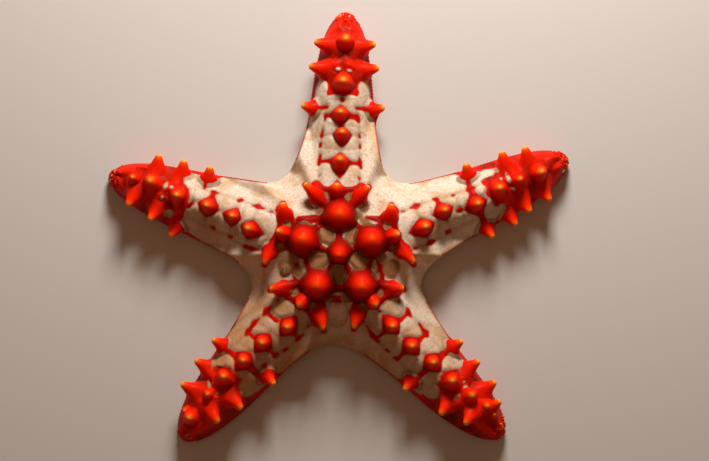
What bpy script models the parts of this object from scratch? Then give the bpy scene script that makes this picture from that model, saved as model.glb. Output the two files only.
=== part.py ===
"""African red knob starfish (Protoreaster linckii), a still, life-size model.

Metres, +Z up. The animal rests on its flat underside at z = 0, and the origin
lies under the middle of its box. The functions work in millimetres, and
make_object turns them into metres.

Each arm has its own coordinates: s runs along its midline from the middle of
the disc to the tip, and u runs across it, positive to the left of someone who
looks from the disc to the tip.
"""
import math
import random
from collections import namedtuple

import bmesh
import bpy
import numpy as np
from mathutils import Vector

# Driving dimensions, in millimetres and degrees
MM = 0.001
GAP = 0.3
DISC_CENTRE = np.array([0.48, -12.935])

# The arms' outline
ARM_HALF_WIDTH = 23.2
ARM_NARROWING = 0.1325
WAIST_PLACE = 56.0
WAIST_LENGTH = 17.0
OUTLINE_END = 12
TIP_LENGTH = 4.0
PARTING_PAST_NOTCH = 0.6
LEAST_PARTING = 33.5

# The upper surface
CREST_RISE = 20.8
CREST_FALL = 0.085
CREST_END = 10
DOME_BLEND = 8
BEHIND_MIDDLE = 9.0
EDGE_HEIGHT = 5.0
TIP_EDGE_HEIGHT = 2.5

# The rounded lower edge: how far in, and at what share of the edge's height
EDGE_PROFILE = ((0.35, 0.6), (1.2, 0.25), (3.0, 0.0))

# The mouth side
FURROW_HALF_WIDTH = 3.2
FURROW_ROOF_HALF_WIDTH = 2.1
FURROW_ROOF = 5.0
FURROW_START = 5.0
FURROW_END = 6.5
MOUTH_RADIUS = 8.0
MOUTH_THICKNESS = 2.4
MOUTH_CLEARANCE = 0.6
JAW_OPENING = 2.4
FURROW_OPENING = 6.0
MOUTH_SPINE_TURN = 9.0

# The madreporite, the sieve plate between two arms: distance and angle
MADREPORITE = (24.4, 198.0)
MADREPORITE_RADIUS = 2.2
MADREPORITE_DEPTH = 1.2
MADREPORITE_RISE = 0.1

# Knobs: rings as shares of the foot's radius and of the height
KNOB_SIDES = 7
KNOB_SINK = 1.6
KNOB_HEIGHT = 2.2
KNOB_HEIGHT_PER_FOOT = 0.72
KNOB_RINGS = ((0.76, 0.15), (0.50, 0.48), (0.30, 0.85))

# Spines: rings as shares of the foot's radius and of the length
SPINE_SIDES = 6
SPINE_SINK = 3.0
SPINE_RINGS = ((0.85, 0.06), (0.52, 0.40), (0.38, 0.80))
SPINE_RUN = 6.2
SPINE_RISE = 4.2
SPINE_LEAN = 1.0
SPINE_FOOT = 3.4
FLANK_RISE = 2.5
FLANK_FOOT = 3.2

# Tube feet, in two rows along each furrow
TUBE_FOOT_SPACING = 7.5
TUBE_FOOT_ROW = 1.15
TUBE_FOOT_SINK = 1.2
TUBE_FOOT_RADII = (0.8, 0.65, 0.95)
SUCKER_LENGTH = 1.0
SUCKER_CLEARANCE = (0.6, 1.1)
TUBE_FEET_START = 10.5
TUBE_FEET_MARGIN = 2.0

# How finely the surfaces are divided
COLUMNS = 13
DISC_ROWS = 8
ARM_ROWS = 13
TIP_ROWS = (2.8, 1.8, 0.9, 0.3)
FURROW_ROWS = 9
MOUTH_CORNERS = 40

# A notch between two arms, as angle and distance from the middle of the disc.
# Each is the left notch of the arm in the same place of ARMS.
NOTCHES = ((128.0, 42.0), (196.0, 40.7), (266.0, 39.2), (344.0, 37.4), (56.0, 40.3))

# waist: how much slimmer the arm is at WAIST_PLACE than a straight taper.
# knobs: s, u and foot radius of each knob on the ridge.
# left and right: s and u of each side spine's tip.
# flanks: the two spines where the arm leaves the disc, right then left, as the
# distance and turn from the arm's heading of their tips and of their roots.
Arm = namedtuple("Arm", "heading reach sweep waist knobs left right flanks")
ARMS = (
    Arm(
        90.0, 107.0, -2.6, 0.8,
        ((29.0, 1.4, 4.0), (40.2, 0.2, 4.5), (52.1, -0.5, 4.2), (60.9, 0.5, 4.5),
         (74.5, -0.3, 7.0), (93.7, -0.7, 4.6)),
        ((64.3, 17.6), (81.4, 14.9), (92.0, 13.0)),
        ((64.5, -18.5), (81.8, -15.6), (92.2, -13.6)),
        ((31.1, -24.0, 23.0, -26.0), (33.2, 27.0, 23.9, 26.0)),
    ),
    Arm(
        159.6, 106.8, 2.0, 0.1,
        ((27.9, 0.8, 4.0), (40.7, 3.9, 4.2), (48.9, 1.1, 4.2), (60.8, 0.3, 4.6),
         (74.5, 0.4, 6.0), (87.6, -2.1, 5.0), (95.7, -1.1, 3.0)),
        ((72.1, 17.8), (82.6, 14.1), (93.7, 11.3)),
        ((65.5, -16.6), (77.1, -15.6), (88.3, -14.5)),
        ((32.4, -20.6, 28.1, -12.6), (32.8, 29.4, 29.8, 17.4)),
    ),
    Arm(
        229.2, 105.2, 0.3, 1.0,
        ((29.2, 1.9, 4.0), (39.3, 4.1, 4.2), (51.4, 0.3, 4.4), (62.4, -1.0, 4.4),
         (73.1, -2.9, 5.5), (83.4, -3.3, 3.2), (96.2, -2.8, 4.4), (95.4, -6.6, 2.4)),
        ((61.5, 15.7), (78.5, 11.9), (89.3, 8.2)),
        ((64.0, -17.5), (75.7, -17.4), (87.2, -15.3)),
        ((34.1, -21.0, 27.4, -16.0), (34.2, 29.0, 26.8, 22.0)),
    ),
    Arm(
        305.0, 104.8, 12.8, 0.8,
        ((28.0, -1.4, 4.0), (39.2, -1.5, 4.2), (51.0, -0.8, 4.4), (62.2, 1.2, 4.6),
         (73.4, 1.7, 5.0), (83.8, 3.3, 4.4), (91.6, 4.6, 3.6), (96.4, 4.2, 2.8)),
        ((63.8, 17.2), (75.4, 16.4), (86.9, 14.9), (94.0, 10.2)),
        ((62.3, -15.8), (79.7, -12.1), (89.8, -7.8)),
        ((33.4, -24.5, 26.7, -17.5), (31.8, 25.5, 27.0, 20.5)),
    ),
    Arm(
        21.2, 108.3, 3.6, 1.0,
        ((26.3, -2.2, 4.0), (38.5, -3.5, 4.2), (48.9, -0.2, 4.2), (63.2, -3.1, 4.6),
         (74.5, -0.8, 5.5), (84.4, -0.6, 3.4), (94.2, -1.4, 4.6)),
        ((65.7, 15.3), (82.2, 13.9), (92.2, 11.6)),
        ((64.0, -18.7), (75.3, -17.9), (82.9, -15.3), (92.8, -14.2)),
        ((32.4, -29.5, 26.4, -17.5), (30.5, 21.5, 26.1, 12.5)),
    ),
)

# The knobs on the disc: distance, angle and foot radius
DISC_KNOBS = ((2.2, 261.0, 5.0), (16.1, 90.0, 7.0), (16.8, 162.0, 7.0),
              (17.8, 237.0, 7.0), (18.0, 302.0, 7.0), (14.8, 19.0, 7.0))

RED = (0.62, 0.035, 0.012)
CREAM = (0.66, 0.50, 0.34)
TAN = (0.45, 0.27, 0.14)

random.seed(5)


def clear_scene():
    for old in list(bpy.data.objects):
        bpy.data.objects.remove(old)


def skin_material(name, colour, roughness):
    material = bpy.data.materials.new(name)
    material.use_nodes = True
    shader = material.node_tree.nodes["Principled BSDF"]
    shader.inputs["Base Color"].default_value = (*colour, 1.0)
    shader.inputs["Roughness"].default_value = roughness
    return material


def heading_axes(degrees):
    """Unit vectors along a heading and to its left."""
    turn = math.radians(degrees)
    along = np.array([math.cos(turn), math.sin(turn)])
    return along, np.array([-along[1], along[0]])


def polar(radius, degrees):
    """The point at a distance and angle from the middle of the disc."""
    return DISC_CENTRE + radius * heading_axes(degrees)[0]


def arm_point(arm, s, u):
    """The x and y of arm coordinates, on a midline that bows by the arm's sweep."""
    along, left = heading_axes(arm.heading)
    s, u = np.broadcast_arrays(np.asarray(s, float), np.asarray(u, float))
    bow = arm.sweep * (s / arm.reach) ** 2
    turn = np.arctan(2 * arm.sweep * s / arm.reach**2)
    forward = s - u * np.sin(turn)
    sideways = bow + u * np.cos(turn)
    return DISC_CENTRE + forward[..., None] * along + sideways[..., None] * left


def arm_coordinates(arm, point):
    """The s and u of points, found by repeating the bow's correction."""
    along, left = heading_axes(arm.heading)
    offset = np.asarray(point) - DISC_CENTRE
    forward, sideways = offset @ along, offset @ left
    s = forward
    for _ in range(8):
        turn = np.arctan(2 * arm.sweep * s / arm.reach**2)
        u = (sideways - arm.sweep * (s / arm.reach) ** 2) / np.cos(turn)
        s = forward + u * np.sin(turn)
    return s, u


def taper(arm, s, power):
    """1 along the arm, falling to 0 in a round end at its reach."""
    share = np.clip(s / arm.reach, 0.0, 1.0)
    return np.sqrt(1.0 - share**power)


def notch_point(arm, side):
    """The notch on the arm's left (side 1) or right (side -1)."""
    number = ARMS.index(arm)
    angle, radius = NOTCHES[number] if side > 0 else NOTCHES[number - 1]
    return polar(radius, angle)


def plain_half_width(arm, s):
    """The half width of the narrowing arm, without its end and fillets."""
    waist = arm.waist * np.exp(-(((s - WAIST_PLACE) / WAIST_LENGTH) ** 2))
    return ARM_HALF_WIDTH - ARM_NARROWING * s - waist


def half_width(arm, s, side):
    """The outline's half width: a narrowing arm, a fillet to each notch, and
    inside the notch the straight line that carries the fillet on."""
    s = np.asarray(s, float)
    width = np.zeros_like(s)
    for sign in (-1, 1):
        notch_s, notch_u = arm_coordinates(arm, notch_point(arm, sign))
        notch_u = abs(notch_u)
        slope = notch_s / notch_u
        extra = notch_u - plain_half_width(arm, notch_s)
        fade = extra / (slope - ARM_NARROWING)
        outer = plain_half_width(arm, s) * taper(arm, s, OUTLINE_END)
        outer = outer + extra * np.exp(-np.maximum(s - notch_s, 0.0) / fade)
        inner = notch_u + slope * (notch_s - s)
        width = np.where(side == sign, np.where(s < notch_s, inner, outer), width)
    return width


def top_height(point):
    """Height of the upper surface: five arched arms blended into a domed disc."""
    point = np.asarray(point, float)
    blend = np.zeros(point.shape[:-1])
    edge = np.full(point.shape[:-1], EDGE_HEIGHT)
    for arm in ARMS:
        s, u = arm_coordinates(arm, point)
        wide = np.maximum(half_width(arm, s, np.where(u < 0, -1, 1)), 0.01)
        arch = (1.0 - np.minimum(np.abs(u) / wide, 1.0) ** 1.5) ** 0.8
        near = np.clip((s + BEHIND_MIDDLE) / BEHIND_MIDDLE, 0.0, 1.0)
        near = near * near * (3 - 2 * near)
        end = taper(arm, s, CREST_END)
        rise = (CREST_RISE - CREST_FALL * np.clip(s, 0.0, arm.reach)) * end * near
        blend += (rise * arch) ** DOME_BLEND
        edge = np.minimum(edge, TIP_EDGE_HEIGHT + (EDGE_HEIGHT - TIP_EDGE_HEIGHT) * end)
    return edge + blend ** (1.0 / DOME_BLEND)


def on_top(point):
    """Points of the plan lifted to the upper surface."""
    point = np.asarray(point, float)
    return np.concatenate([point, top_height(point)[..., None]], axis=-1)


def top_normal(point):
    step = 0.5
    slopes = [
        float(top_height(point + shift) - top_height(point - shift)) / (2 * step)
        for shift in (np.array([step, 0.0]), np.array([0.0, step]))
    ]
    normal = np.array([-slopes[0], -slopes[1], 1.0])
    return normal / np.linalg.norm(normal)


def make_object(name, polygons):
    """A mesh object from polygons whose corners are points in millimetres.

    Corners that fall together are merged, so a quad with two equal corners
    becomes a triangle."""
    shape = bmesh.new()
    for polygon in polygons:
        shape.faces.new([shape.verts.new(Vector(corner) * MM) for corner in polygon])
    bmesh.ops.remove_doubles(shape, verts=shape.verts, dist=0.01 * MM)
    bmesh.ops.recalc_face_normals(shape, faces=shape.faces)
    mesh = bpy.data.meshes.new(name)
    shape.to_mesh(mesh)
    shape.free()
    made = bpy.data.objects.new(name, mesh)
    bpy.context.collection.objects.link(made)
    return made


def strips(rows, around=False):
    """The quads between each row of points and the next, open or closed in a ring."""
    quads = []
    for near, far in zip(rows, rows[1:]):
        for i in range(len(near) - (0 if around else 1)):
            j = (i + 1) % len(near)
            quads.append((near[i], near[j], far[j], far[i]))
    return quads


def loft(name, rings):
    """A closed solid through rings of points, where a ring may be a single point."""
    count = max(len(ring) for ring in rings)
    rings = [list(ring) * (count if len(ring) == 1 else 1) for ring in rings]
    polygons = strips(rings, around=True)
    for ring in (rings[0], rings[-1]):
        if tuple(ring[0]) != tuple(ring[1]):
            polygons.append(ring)
    return make_object(name, polygons)


def column_shares():
    """Places across the arm from -1 to 1, closer together near the edges."""
    even = np.linspace(-1.0, 1.0, COLUMNS)
    return 0.4 * even + 0.6 * np.sin(even * math.pi / 2)


def edge_wall(arm, s, side):
    """The rounded edge of the arm at s, from just under its widest line to z = 0."""
    step = 0.2
    wide = float(half_width(arm, s, side))
    slope = (float(half_width(arm, s + step, side)) - wide) / step
    skew = min(math.sqrt(1.0 + slope**2), 2.5)
    high = float(top_height(arm_point(arm, s, side * wide)))
    wall = []
    for inset, share in EDGE_PROFILE:
        u = side * (wide - min(inset * skew, 0.55 * wide))
        wall.append((*arm_point(arm, s, u), high * share))
    return wall


def notch_wall(notch):
    """The rounded edge of the disc at a notch."""
    inward = (DISC_CENTRE - notch) / np.linalg.norm(DISC_CENTRE - notch)
    high = float(top_height(notch))
    return [(*(notch + inward * inset), high * share) for inset, share in EDGE_PROFILE]


def row_across(arm, right_s, left_s):
    """Points on the upper surface from the right outline at one s to the left at another."""
    share = (column_shares() + 1) / 2
    right = float(half_width(arm, right_s, -1))
    left = float(half_width(arm, left_s, 1))
    s = right_s + (left_s - right_s) * share
    u = -right + (left + right) * share
    return list(on_top(arm_point(arm, s, u)))


def arm_section(arm, s):
    """The closed outline of the arm's cross-section at s."""
    return row_across(arm, s, s) + edge_wall(arm, s, 1) + edge_wall(arm, s, -1)[::-1]


def parting(arm):
    """Where the disc ends and the arm begins, just past both notches."""
    reached = [float(arm_coordinates(arm, notch_point(arm, side))[0]) for side in (-1, 1)]
    return max(max(reached) + PARTING_PAST_NOTCH, LEAST_PARTING)


def disc_sector(arm):
    """The disc's share of one arm: rows from the middle out to the parting, and the
    rounded edge beside the rows past the notches, on the right and on the left."""
    share = ((column_shares() + 1) / 2)[:, None]
    right, left = notch_point(arm, -1), notch_point(arm, 1)
    rows = []
    for part in np.linspace(0.0, 1.0, DISC_ROWS):
        ends = [DISC_CENTRE + (notch - DISC_CENTRE) * part for notch in (right, left)]
        rows.append(list(on_top(ends[0] + (ends[1] - ends[0]) * share)))
    walls = {-1: [notch_wall(right)], 1: [notch_wall(left)]}
    start = {side: float(arm_coordinates(arm, notch_point(arm, side))[0]) for side in walls}
    end = parting(arm) - GAP / 2
    for part in (0.5, 1.0):
        s = {side: start[side] + (end - start[side]) * part for side in walls}
        rows.append(row_across(arm, s[-1], s[1]))
        for side in walls:
            walls[side].append(edge_wall(arm, s[side], side))
    return rows, walls[-1], walls[1]


def disc_body(name):
    """The disc: five sectors that meet between the arms, over one flat floor."""
    polygons, floor = [], []
    for arm in ARMS:
        rows, right, left = disc_sector(arm)
        outer = rows[-len(right):]
        polygons += strips(rows)
        polygons += strips([[row[0]] + wall for row, wall in zip(outer, right)])
        polygons += strips([[row[-1]] + wall for row, wall in zip(outer, left)])
        polygons.append(rows[-1] + left[-1] + right[-1][::-1])
        floor += [wall[-1] for wall in right]
        floor += [wall[-1] for wall in left[:0:-1]]
    polygons.append(floor)
    return make_object(name, polygons)


def arm_body(arm, name):
    start, end = parting(arm) + GAP / 2, arm.reach - TIP_LENGTH - GAP / 2
    rows = start + (end - start) * np.linspace(0.0, 1.0, ARM_ROWS) ** 1.15
    return loft(name, [arm_section(arm, float(s)) for s in rows])


def arm_tip(arm, name):
    rows = [arm.reach - back for back in (TIP_LENGTH - GAP / 2, *TIP_ROWS)]
    rings = [arm_section(arm, s) for s in rows]
    rings.append([(*arm_point(arm, arm.reach, 0.0), TIP_EDGE_HEIGHT)])
    return loft(name, rings)


def turned(name, origin, axis, profile, sides, twist=0.0):
    """A solid of revolution round an axis, from pairs of radius and distance along it."""
    axis = Vector(axis).normalized()
    across = axis.orthogonal().normalized()
    third = axis.cross(across)
    turns = [twist + 2 * math.pi * i / sides for i in range(sides)]
    spokes = [across * math.cos(turn) + third * math.sin(turn) for turn in turns]
    rings = []
    for radius, along in profile:
        middle = Vector(origin) + axis * along
        rings.append([tuple(middle + spoke * radius) for spoke in spokes])
    return loft(name, rings)


def knob(tip, foot):
    """A knob under the plan point tip, with a flared foot that follows the surface."""
    height = KNOB_HEIGHT + KNOB_HEIGHT_PER_FOOT * foot
    up = np.array([0.0, 0.0, 1.0])
    axis = top_normal(tip) + up
    axis /= np.linalg.norm(axis)
    base = tip - axis[:2] * height
    turns = random.uniform(0.0, math.pi) + np.arange(KNOB_SIDES) * 2 * math.pi / KNOB_SIDES
    circle = foot * np.stack([np.cos(turns), np.sin(turns)], axis=1)
    rings = [[on_top(base) - up * 1.4 * KNOB_SINK], on_top(base + circle) - up * KNOB_SINK]
    for wide, high in KNOB_RINGS:
        rings.append(on_top(base + circle * wide) + axis * height * high)
    rings.append([on_top(base) + axis * height])
    return loft("knob", rings)


def spine(root, tip, foot):
    """A blunt spine between two points, its root sunk in the body."""
    root, tip = Vector(root), Vector(tip)
    length = (tip - root).length
    profile = [(foot, -SPINE_SINK)]
    profile += [(foot * wide, length * along) for wide, along in SPINE_RINGS]
    profile.append((0.0, length))
    return turned("spine", root, tip - root, profile, SPINE_SIDES, random.uniform(0.0, 1.0))


def side_spine(arm, s, u):
    """A spine on the arm's flank, with its tip at s and u."""
    side = math.copysign(1.0, u)
    root = on_top(arm_point(arm, s - SPINE_LEAN, u - side * SPINE_RUN))
    return spine(root, (*arm_point(arm, s, u), root[2] + SPINE_RISE), SPINE_FOOT)


def flank_spine(arm, tip_radius, tip_turn, root_radius, root_turn):
    """A spine that points out over the notch from the disc's shoulder."""
    root = on_top(polar(root_radius, arm.heading + root_turn))
    tip = polar(tip_radius, arm.heading + tip_turn)
    return spine(root, (*tip, root[2] + FLANK_RISE), FLANK_FOOT)


def tube_feet(arm, start, end):
    """Two staggered rows of tube feet in the furrow, each ending in its sucker."""
    feet = []
    root, neck, sucker = TUBE_FOOT_RADII
    top = FURROW_ROOF + TUBE_FOOT_SINK
    count = int((end - start) / TUBE_FOOT_SPACING) + 1
    for i in range(2 * count):
        side = 1 if i % 2 else -1
        s = start + (end - start) * i / (2 * count - 1)
        length = top - random.uniform(*SUCKER_CLEARANCE)
        lean = (random.uniform(-0.06, 0.06), random.uniform(-0.06, 0.06), -1.0)
        profile = ((root, 0.0), (neck, length - SUCKER_LENGTH), (sucker, length))
        origin = (*arm_point(arm, s, side * TUBE_FOOT_ROW), top)
        feet.append(turned("tube_foot", origin, lean, profile, 5, float(i)))
    return feet


def furrow_cutter(arm):
    """The furrow under an arm, from the mouth to near the tip."""
    below = -1.0
    half_section = (
        (FURROW_HALF_WIDTH, below),
        (FURROW_HALF_WIDTH, 0.0),
        (FURROW_ROOF_HALF_WIDTH, FURROW_ROOF),
    )
    section = [*half_section, *[(-u, z) for u, z in reversed(half_section)]]
    rows = np.linspace(FURROW_START, arm.reach - FURROW_END, FURROW_ROWS)
    return loft("furrow", [[(*arm_point(arm, s, u), z) for u, z in section] for s in rows])


def mouth_cutter():
    wide = MOUTH_RADIUS + GAP
    profile = ((wide, -1.0), (wide, MOUTH_CLEARANCE + MOUTH_THICKNESS + GAP))
    return turned("mouth_recess", (*DISC_CENTRE, 0.0), (0, 0, 1), profile, 30)


def sieve_plate(name, radius, low, high):
    """A round plate with a low dome, set square to the surface at the madreporite."""
    place = polar(*MADREPORITE)
    profile = ((radius, low), (radius, high), (0.6 * radius, high + 0.25 * radius),
               (0.0, high + 0.3 * radius))
    return turned(name, on_top(place), top_normal(place), profile, 14)


def jaw_edge(i):
    """The angle of one corner of the mouth, and its distance from the middle: small
    at the five jaws, and large where the furrows open between them."""
    turn = 360.0 * i / MOUTH_CORNERS
    facing = (1 + math.cos(math.radians(5 * turn))) / 2
    return ARMS[0].heading + turn, JAW_OPENING + (FURROW_OPENING - JAW_OPENING) * facing**2


def mouth(name):
    """The ring of five jaws round the mouth, with two spines at each jaw's tip."""
    low, high = MOUTH_CLEARANCE, MOUTH_CLEARANCE + MOUTH_THICKNESS
    bevel = 0.5
    rings = [[], [], [], [], []]
    for i in range(MOUTH_CORNERS):
        angle, opening = jaw_edge(i)
        corners = ((MOUTH_RADIUS, low + bevel), (MOUTH_RADIUS, high), (opening, high),
                   (opening, low + bevel), ((opening + MOUTH_RADIUS) / 2, low))
        for ring, (radius, z) in zip(rings, corners):
            ring.append((*polar(radius, angle), z))
    jaws = make_object(name, strips(rings + rings[:1], around=True))
    spines = []
    for i in range(10):
        side = 1 if i % 2 else -1
        jaw = ARMS[0].heading + 36.0 + 72.0 * (i // 2)
        root = Vector((*polar(4.4, jaw + side * MOUTH_SPINE_TURN), low + 0.9))
        tip = Vector((*polar(1.6, jaw + side * 0.6 * MOUTH_SPINE_TURN), low + 0.1))
        length = (tip - root).length
        profile = ((0.55, 0.0), (0.45, 0.6 * length), (0.0, length))
        spines.append(turned("mouth_spine", root, tip - root, profile, 5))
    combine(jaws, spines, "UNION")
    return jaws


def combine(body, pieces, operation):
    """Join pieces to a body, or cut them from it, in one Boolean, and keep the
    largest closed surface."""
    group = bpy.data.collections.new("pieces")
    bpy.context.scene.collection.children.link(group)
    for piece in pieces:
        group.objects.link(piece)
    boolean = body.modifiers.new("pieces", "BOOLEAN")
    boolean.operation = operation
    boolean.operand_type = "COLLECTION"
    boolean.collection = group
    boolean.solver = "EXACT"
    graph = bpy.context.evaluated_depsgraph_get()
    joined = bpy.data.meshes.new_from_object(body.evaluated_get(graph))
    body.modifiers.clear()
    body.data = joined
    for piece in pieces:
        bpy.data.objects.remove(piece)
    bpy.data.collections.remove(group)
    keep_largest(body.data)


def linked_groups(shape):
    """The vertices of each separate surface of a mesh."""
    unseen, groups = set(shape.verts), []
    while unseen:
        front = [unseen.pop()]
        group = list(front)
        while front:
            for edge in front.pop().link_edges:
                fresh = unseen.intersection(edge.verts)
                unseen -= fresh
                front += fresh
                group += fresh
        groups.append(group)
    return groups


def keep_largest(mesh):
    """Drop every closed surface but the largest, and edges too short to keep."""
    shape = bmesh.new()
    shape.from_mesh(mesh)
    bmesh.ops.remove_doubles(shape, verts=shape.verts, dist=0.002 * MM)
    bmesh.ops.dissolve_degenerate(shape, edges=shape.edges, dist=0.002 * MM)
    for group in sorted(linked_groups(shape), key=len)[:-1]:
        bmesh.ops.delete(shape, geom=group, context="VERTS")
    bmesh.ops.triangulate(shape, faces=shape.faces)
    shape.to_mesh(mesh)
    shape.free()


def finish(made, material):
    made.data.materials.clear()
    made.data.materials.append(material)
    made.data.shade_smooth()
    made.data.set_sharp_from_angle(angle=math.radians(40))


def disc(name):
    """The disc with its mouth and sieve plate recesses, knobs, spines and tube feet."""
    body = disc_body(name)
    cutters = [furrow_cutter(arm) for arm in ARMS] + [mouth_cutter()]
    depth = MADREPORITE_DEPTH + GAP
    cutters.append(sieve_plate("recess", MADREPORITE_RADIUS + GAP, -depth, 2.0))
    combine(body, cutters, "DIFFERENCE")
    grown = [knob(polar(radius, angle), foot) for radius, angle, foot in DISC_KNOBS]
    for arm in ARMS:
        s, u, foot = arm.knobs[0]
        grown.append(knob(arm_point(arm, s, u), foot))
        grown += [flank_spine(arm, *flank) for flank in arm.flanks]
        grown += tube_feet(arm, TUBE_FEET_START, parting(arm) - TUBE_FEET_MARGIN)
    combine(body, grown, "UNION")
    return body


def arm_with_growths(arm, name):
    """An arm with its furrow, and the knobs, side spines and tube feet beyond the disc."""
    body = arm_body(arm, name)
    combine(body, [furrow_cutter(arm)], "DIFFERENCE")
    grown = [knob(arm_point(arm, s, u), foot) for s, u, foot in arm.knobs[1:]]
    grown += [side_spine(arm, s, u) for s, u in arm.left + arm.right]
    start = parting(arm) + TUBE_FEET_MARGIN
    grown += tube_feet(arm, start, arm.reach - FURROW_END - TUBE_FEET_MARGIN)
    combine(body, grown, "UNION")
    return body


def main():
    clear_scene()
    red = skin_material("red_skin", RED, 0.35)
    cream = skin_material("cream_skin", CREAM, 0.6)
    tan = skin_material("tan_skin", TAN, 0.6)

    finish(disc("disc"), red)
    finish(mouth("mouth"), tan)
    plate = sieve_plate("madreporite", MADREPORITE_RADIUS, -MADREPORITE_DEPTH, MADREPORITE_RISE)
    finish(plate, cream)
    for number, arm in enumerate(ARMS, start=1):
        finish(arm_with_growths(arm, f"arm_{number}"), cream)
        finish(arm_tip(arm, f"arm_tip_{number}"), red)


main()
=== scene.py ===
# %% [markdown]
# # A red knob starfish
# This lesson dresses a packed solid model of a starfish. The solids give the size and
# the pose. Here the same outline is drawn again as one fine skin with knobs, spines
# and tube feet on it, and a skin material that paints red, cream and tan.
# The first cell loads the frame.

import math
from collections import namedtuple

import bmesh
import bpy
import numpy as np
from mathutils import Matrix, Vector


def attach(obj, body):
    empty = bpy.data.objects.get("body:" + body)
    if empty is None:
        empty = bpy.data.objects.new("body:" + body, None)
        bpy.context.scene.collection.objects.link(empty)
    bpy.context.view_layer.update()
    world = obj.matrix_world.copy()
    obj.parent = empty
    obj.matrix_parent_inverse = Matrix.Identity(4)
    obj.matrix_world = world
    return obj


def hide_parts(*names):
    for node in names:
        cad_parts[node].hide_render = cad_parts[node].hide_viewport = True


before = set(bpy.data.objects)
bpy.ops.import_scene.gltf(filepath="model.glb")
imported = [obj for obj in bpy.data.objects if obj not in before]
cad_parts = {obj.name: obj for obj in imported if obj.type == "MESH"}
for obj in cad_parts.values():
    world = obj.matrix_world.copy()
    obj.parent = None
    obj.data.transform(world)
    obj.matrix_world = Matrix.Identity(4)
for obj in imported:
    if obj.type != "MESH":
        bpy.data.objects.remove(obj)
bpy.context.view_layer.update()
MM = 0.001
print("solid model:", sorted(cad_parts))

# %% [markdown]
# ## Camera
# The animal lies flat and the picture was taken from above, tilted a little towards the
# viewer. The camera could be dragged until it fits, but a target, a distance, a tilt and
# a lens say it exactly. A long lens far away keeps the arms free of perspective.

# %% Camera
CAMERA_TARGET = Vector((6.88, -1.74, 0.0)) * MM
CAMERA_DISTANCE = 1.1
CAMERA_TILT = math.radians(4.5)
CAMERA_LENS, SENSOR_WIDTH = 127.0, 36.0
NEAREST_SEEN = 0.01

camera_data = bpy.data.cameras.new("camera")
camera_data.lens = CAMERA_LENS
camera_data.sensor_width = SENSOR_WIDTH
camera_data.clip_start = NEAREST_SEEN
camera = bpy.data.objects.new("camera", camera_data)
bpy.context.scene.collection.objects.link(camera)
camera.location = CAMERA_TARGET + CAMERA_DISTANCE * Vector(
    (0.0, -math.sin(CAMERA_TILT), math.cos(CAMERA_TILT)))
camera.rotation_euler = (CAMERA_TILT, 0.0, 0.0)
bpy.context.scene.camera = camera
print("camera at", tuple(round(value, 3) for value in camera.location))

# %% [markdown]
# ## Arm coordinates
# A starfish is five arms round one point, so each arm gets its own coordinates: s runs
# along its bowed midline from the middle of the disc, and u across it, positive to the
# left. The tables hold what sets the five arms apart: heading, reach, bow, waist, the
# knobs on the ridge, the tips of the side spines and the spines on the disc's shoulders.

# %% The arms
DISC_CENTRE = np.array([0.48, -12.935])
# Angle and distance of the notch on each arm's left
NOTCHES = ((128.0, 42.0), (196.0, 40.7), (266.0, 39.2), (344.0, 37.4), (56.0, 40.3))
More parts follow.
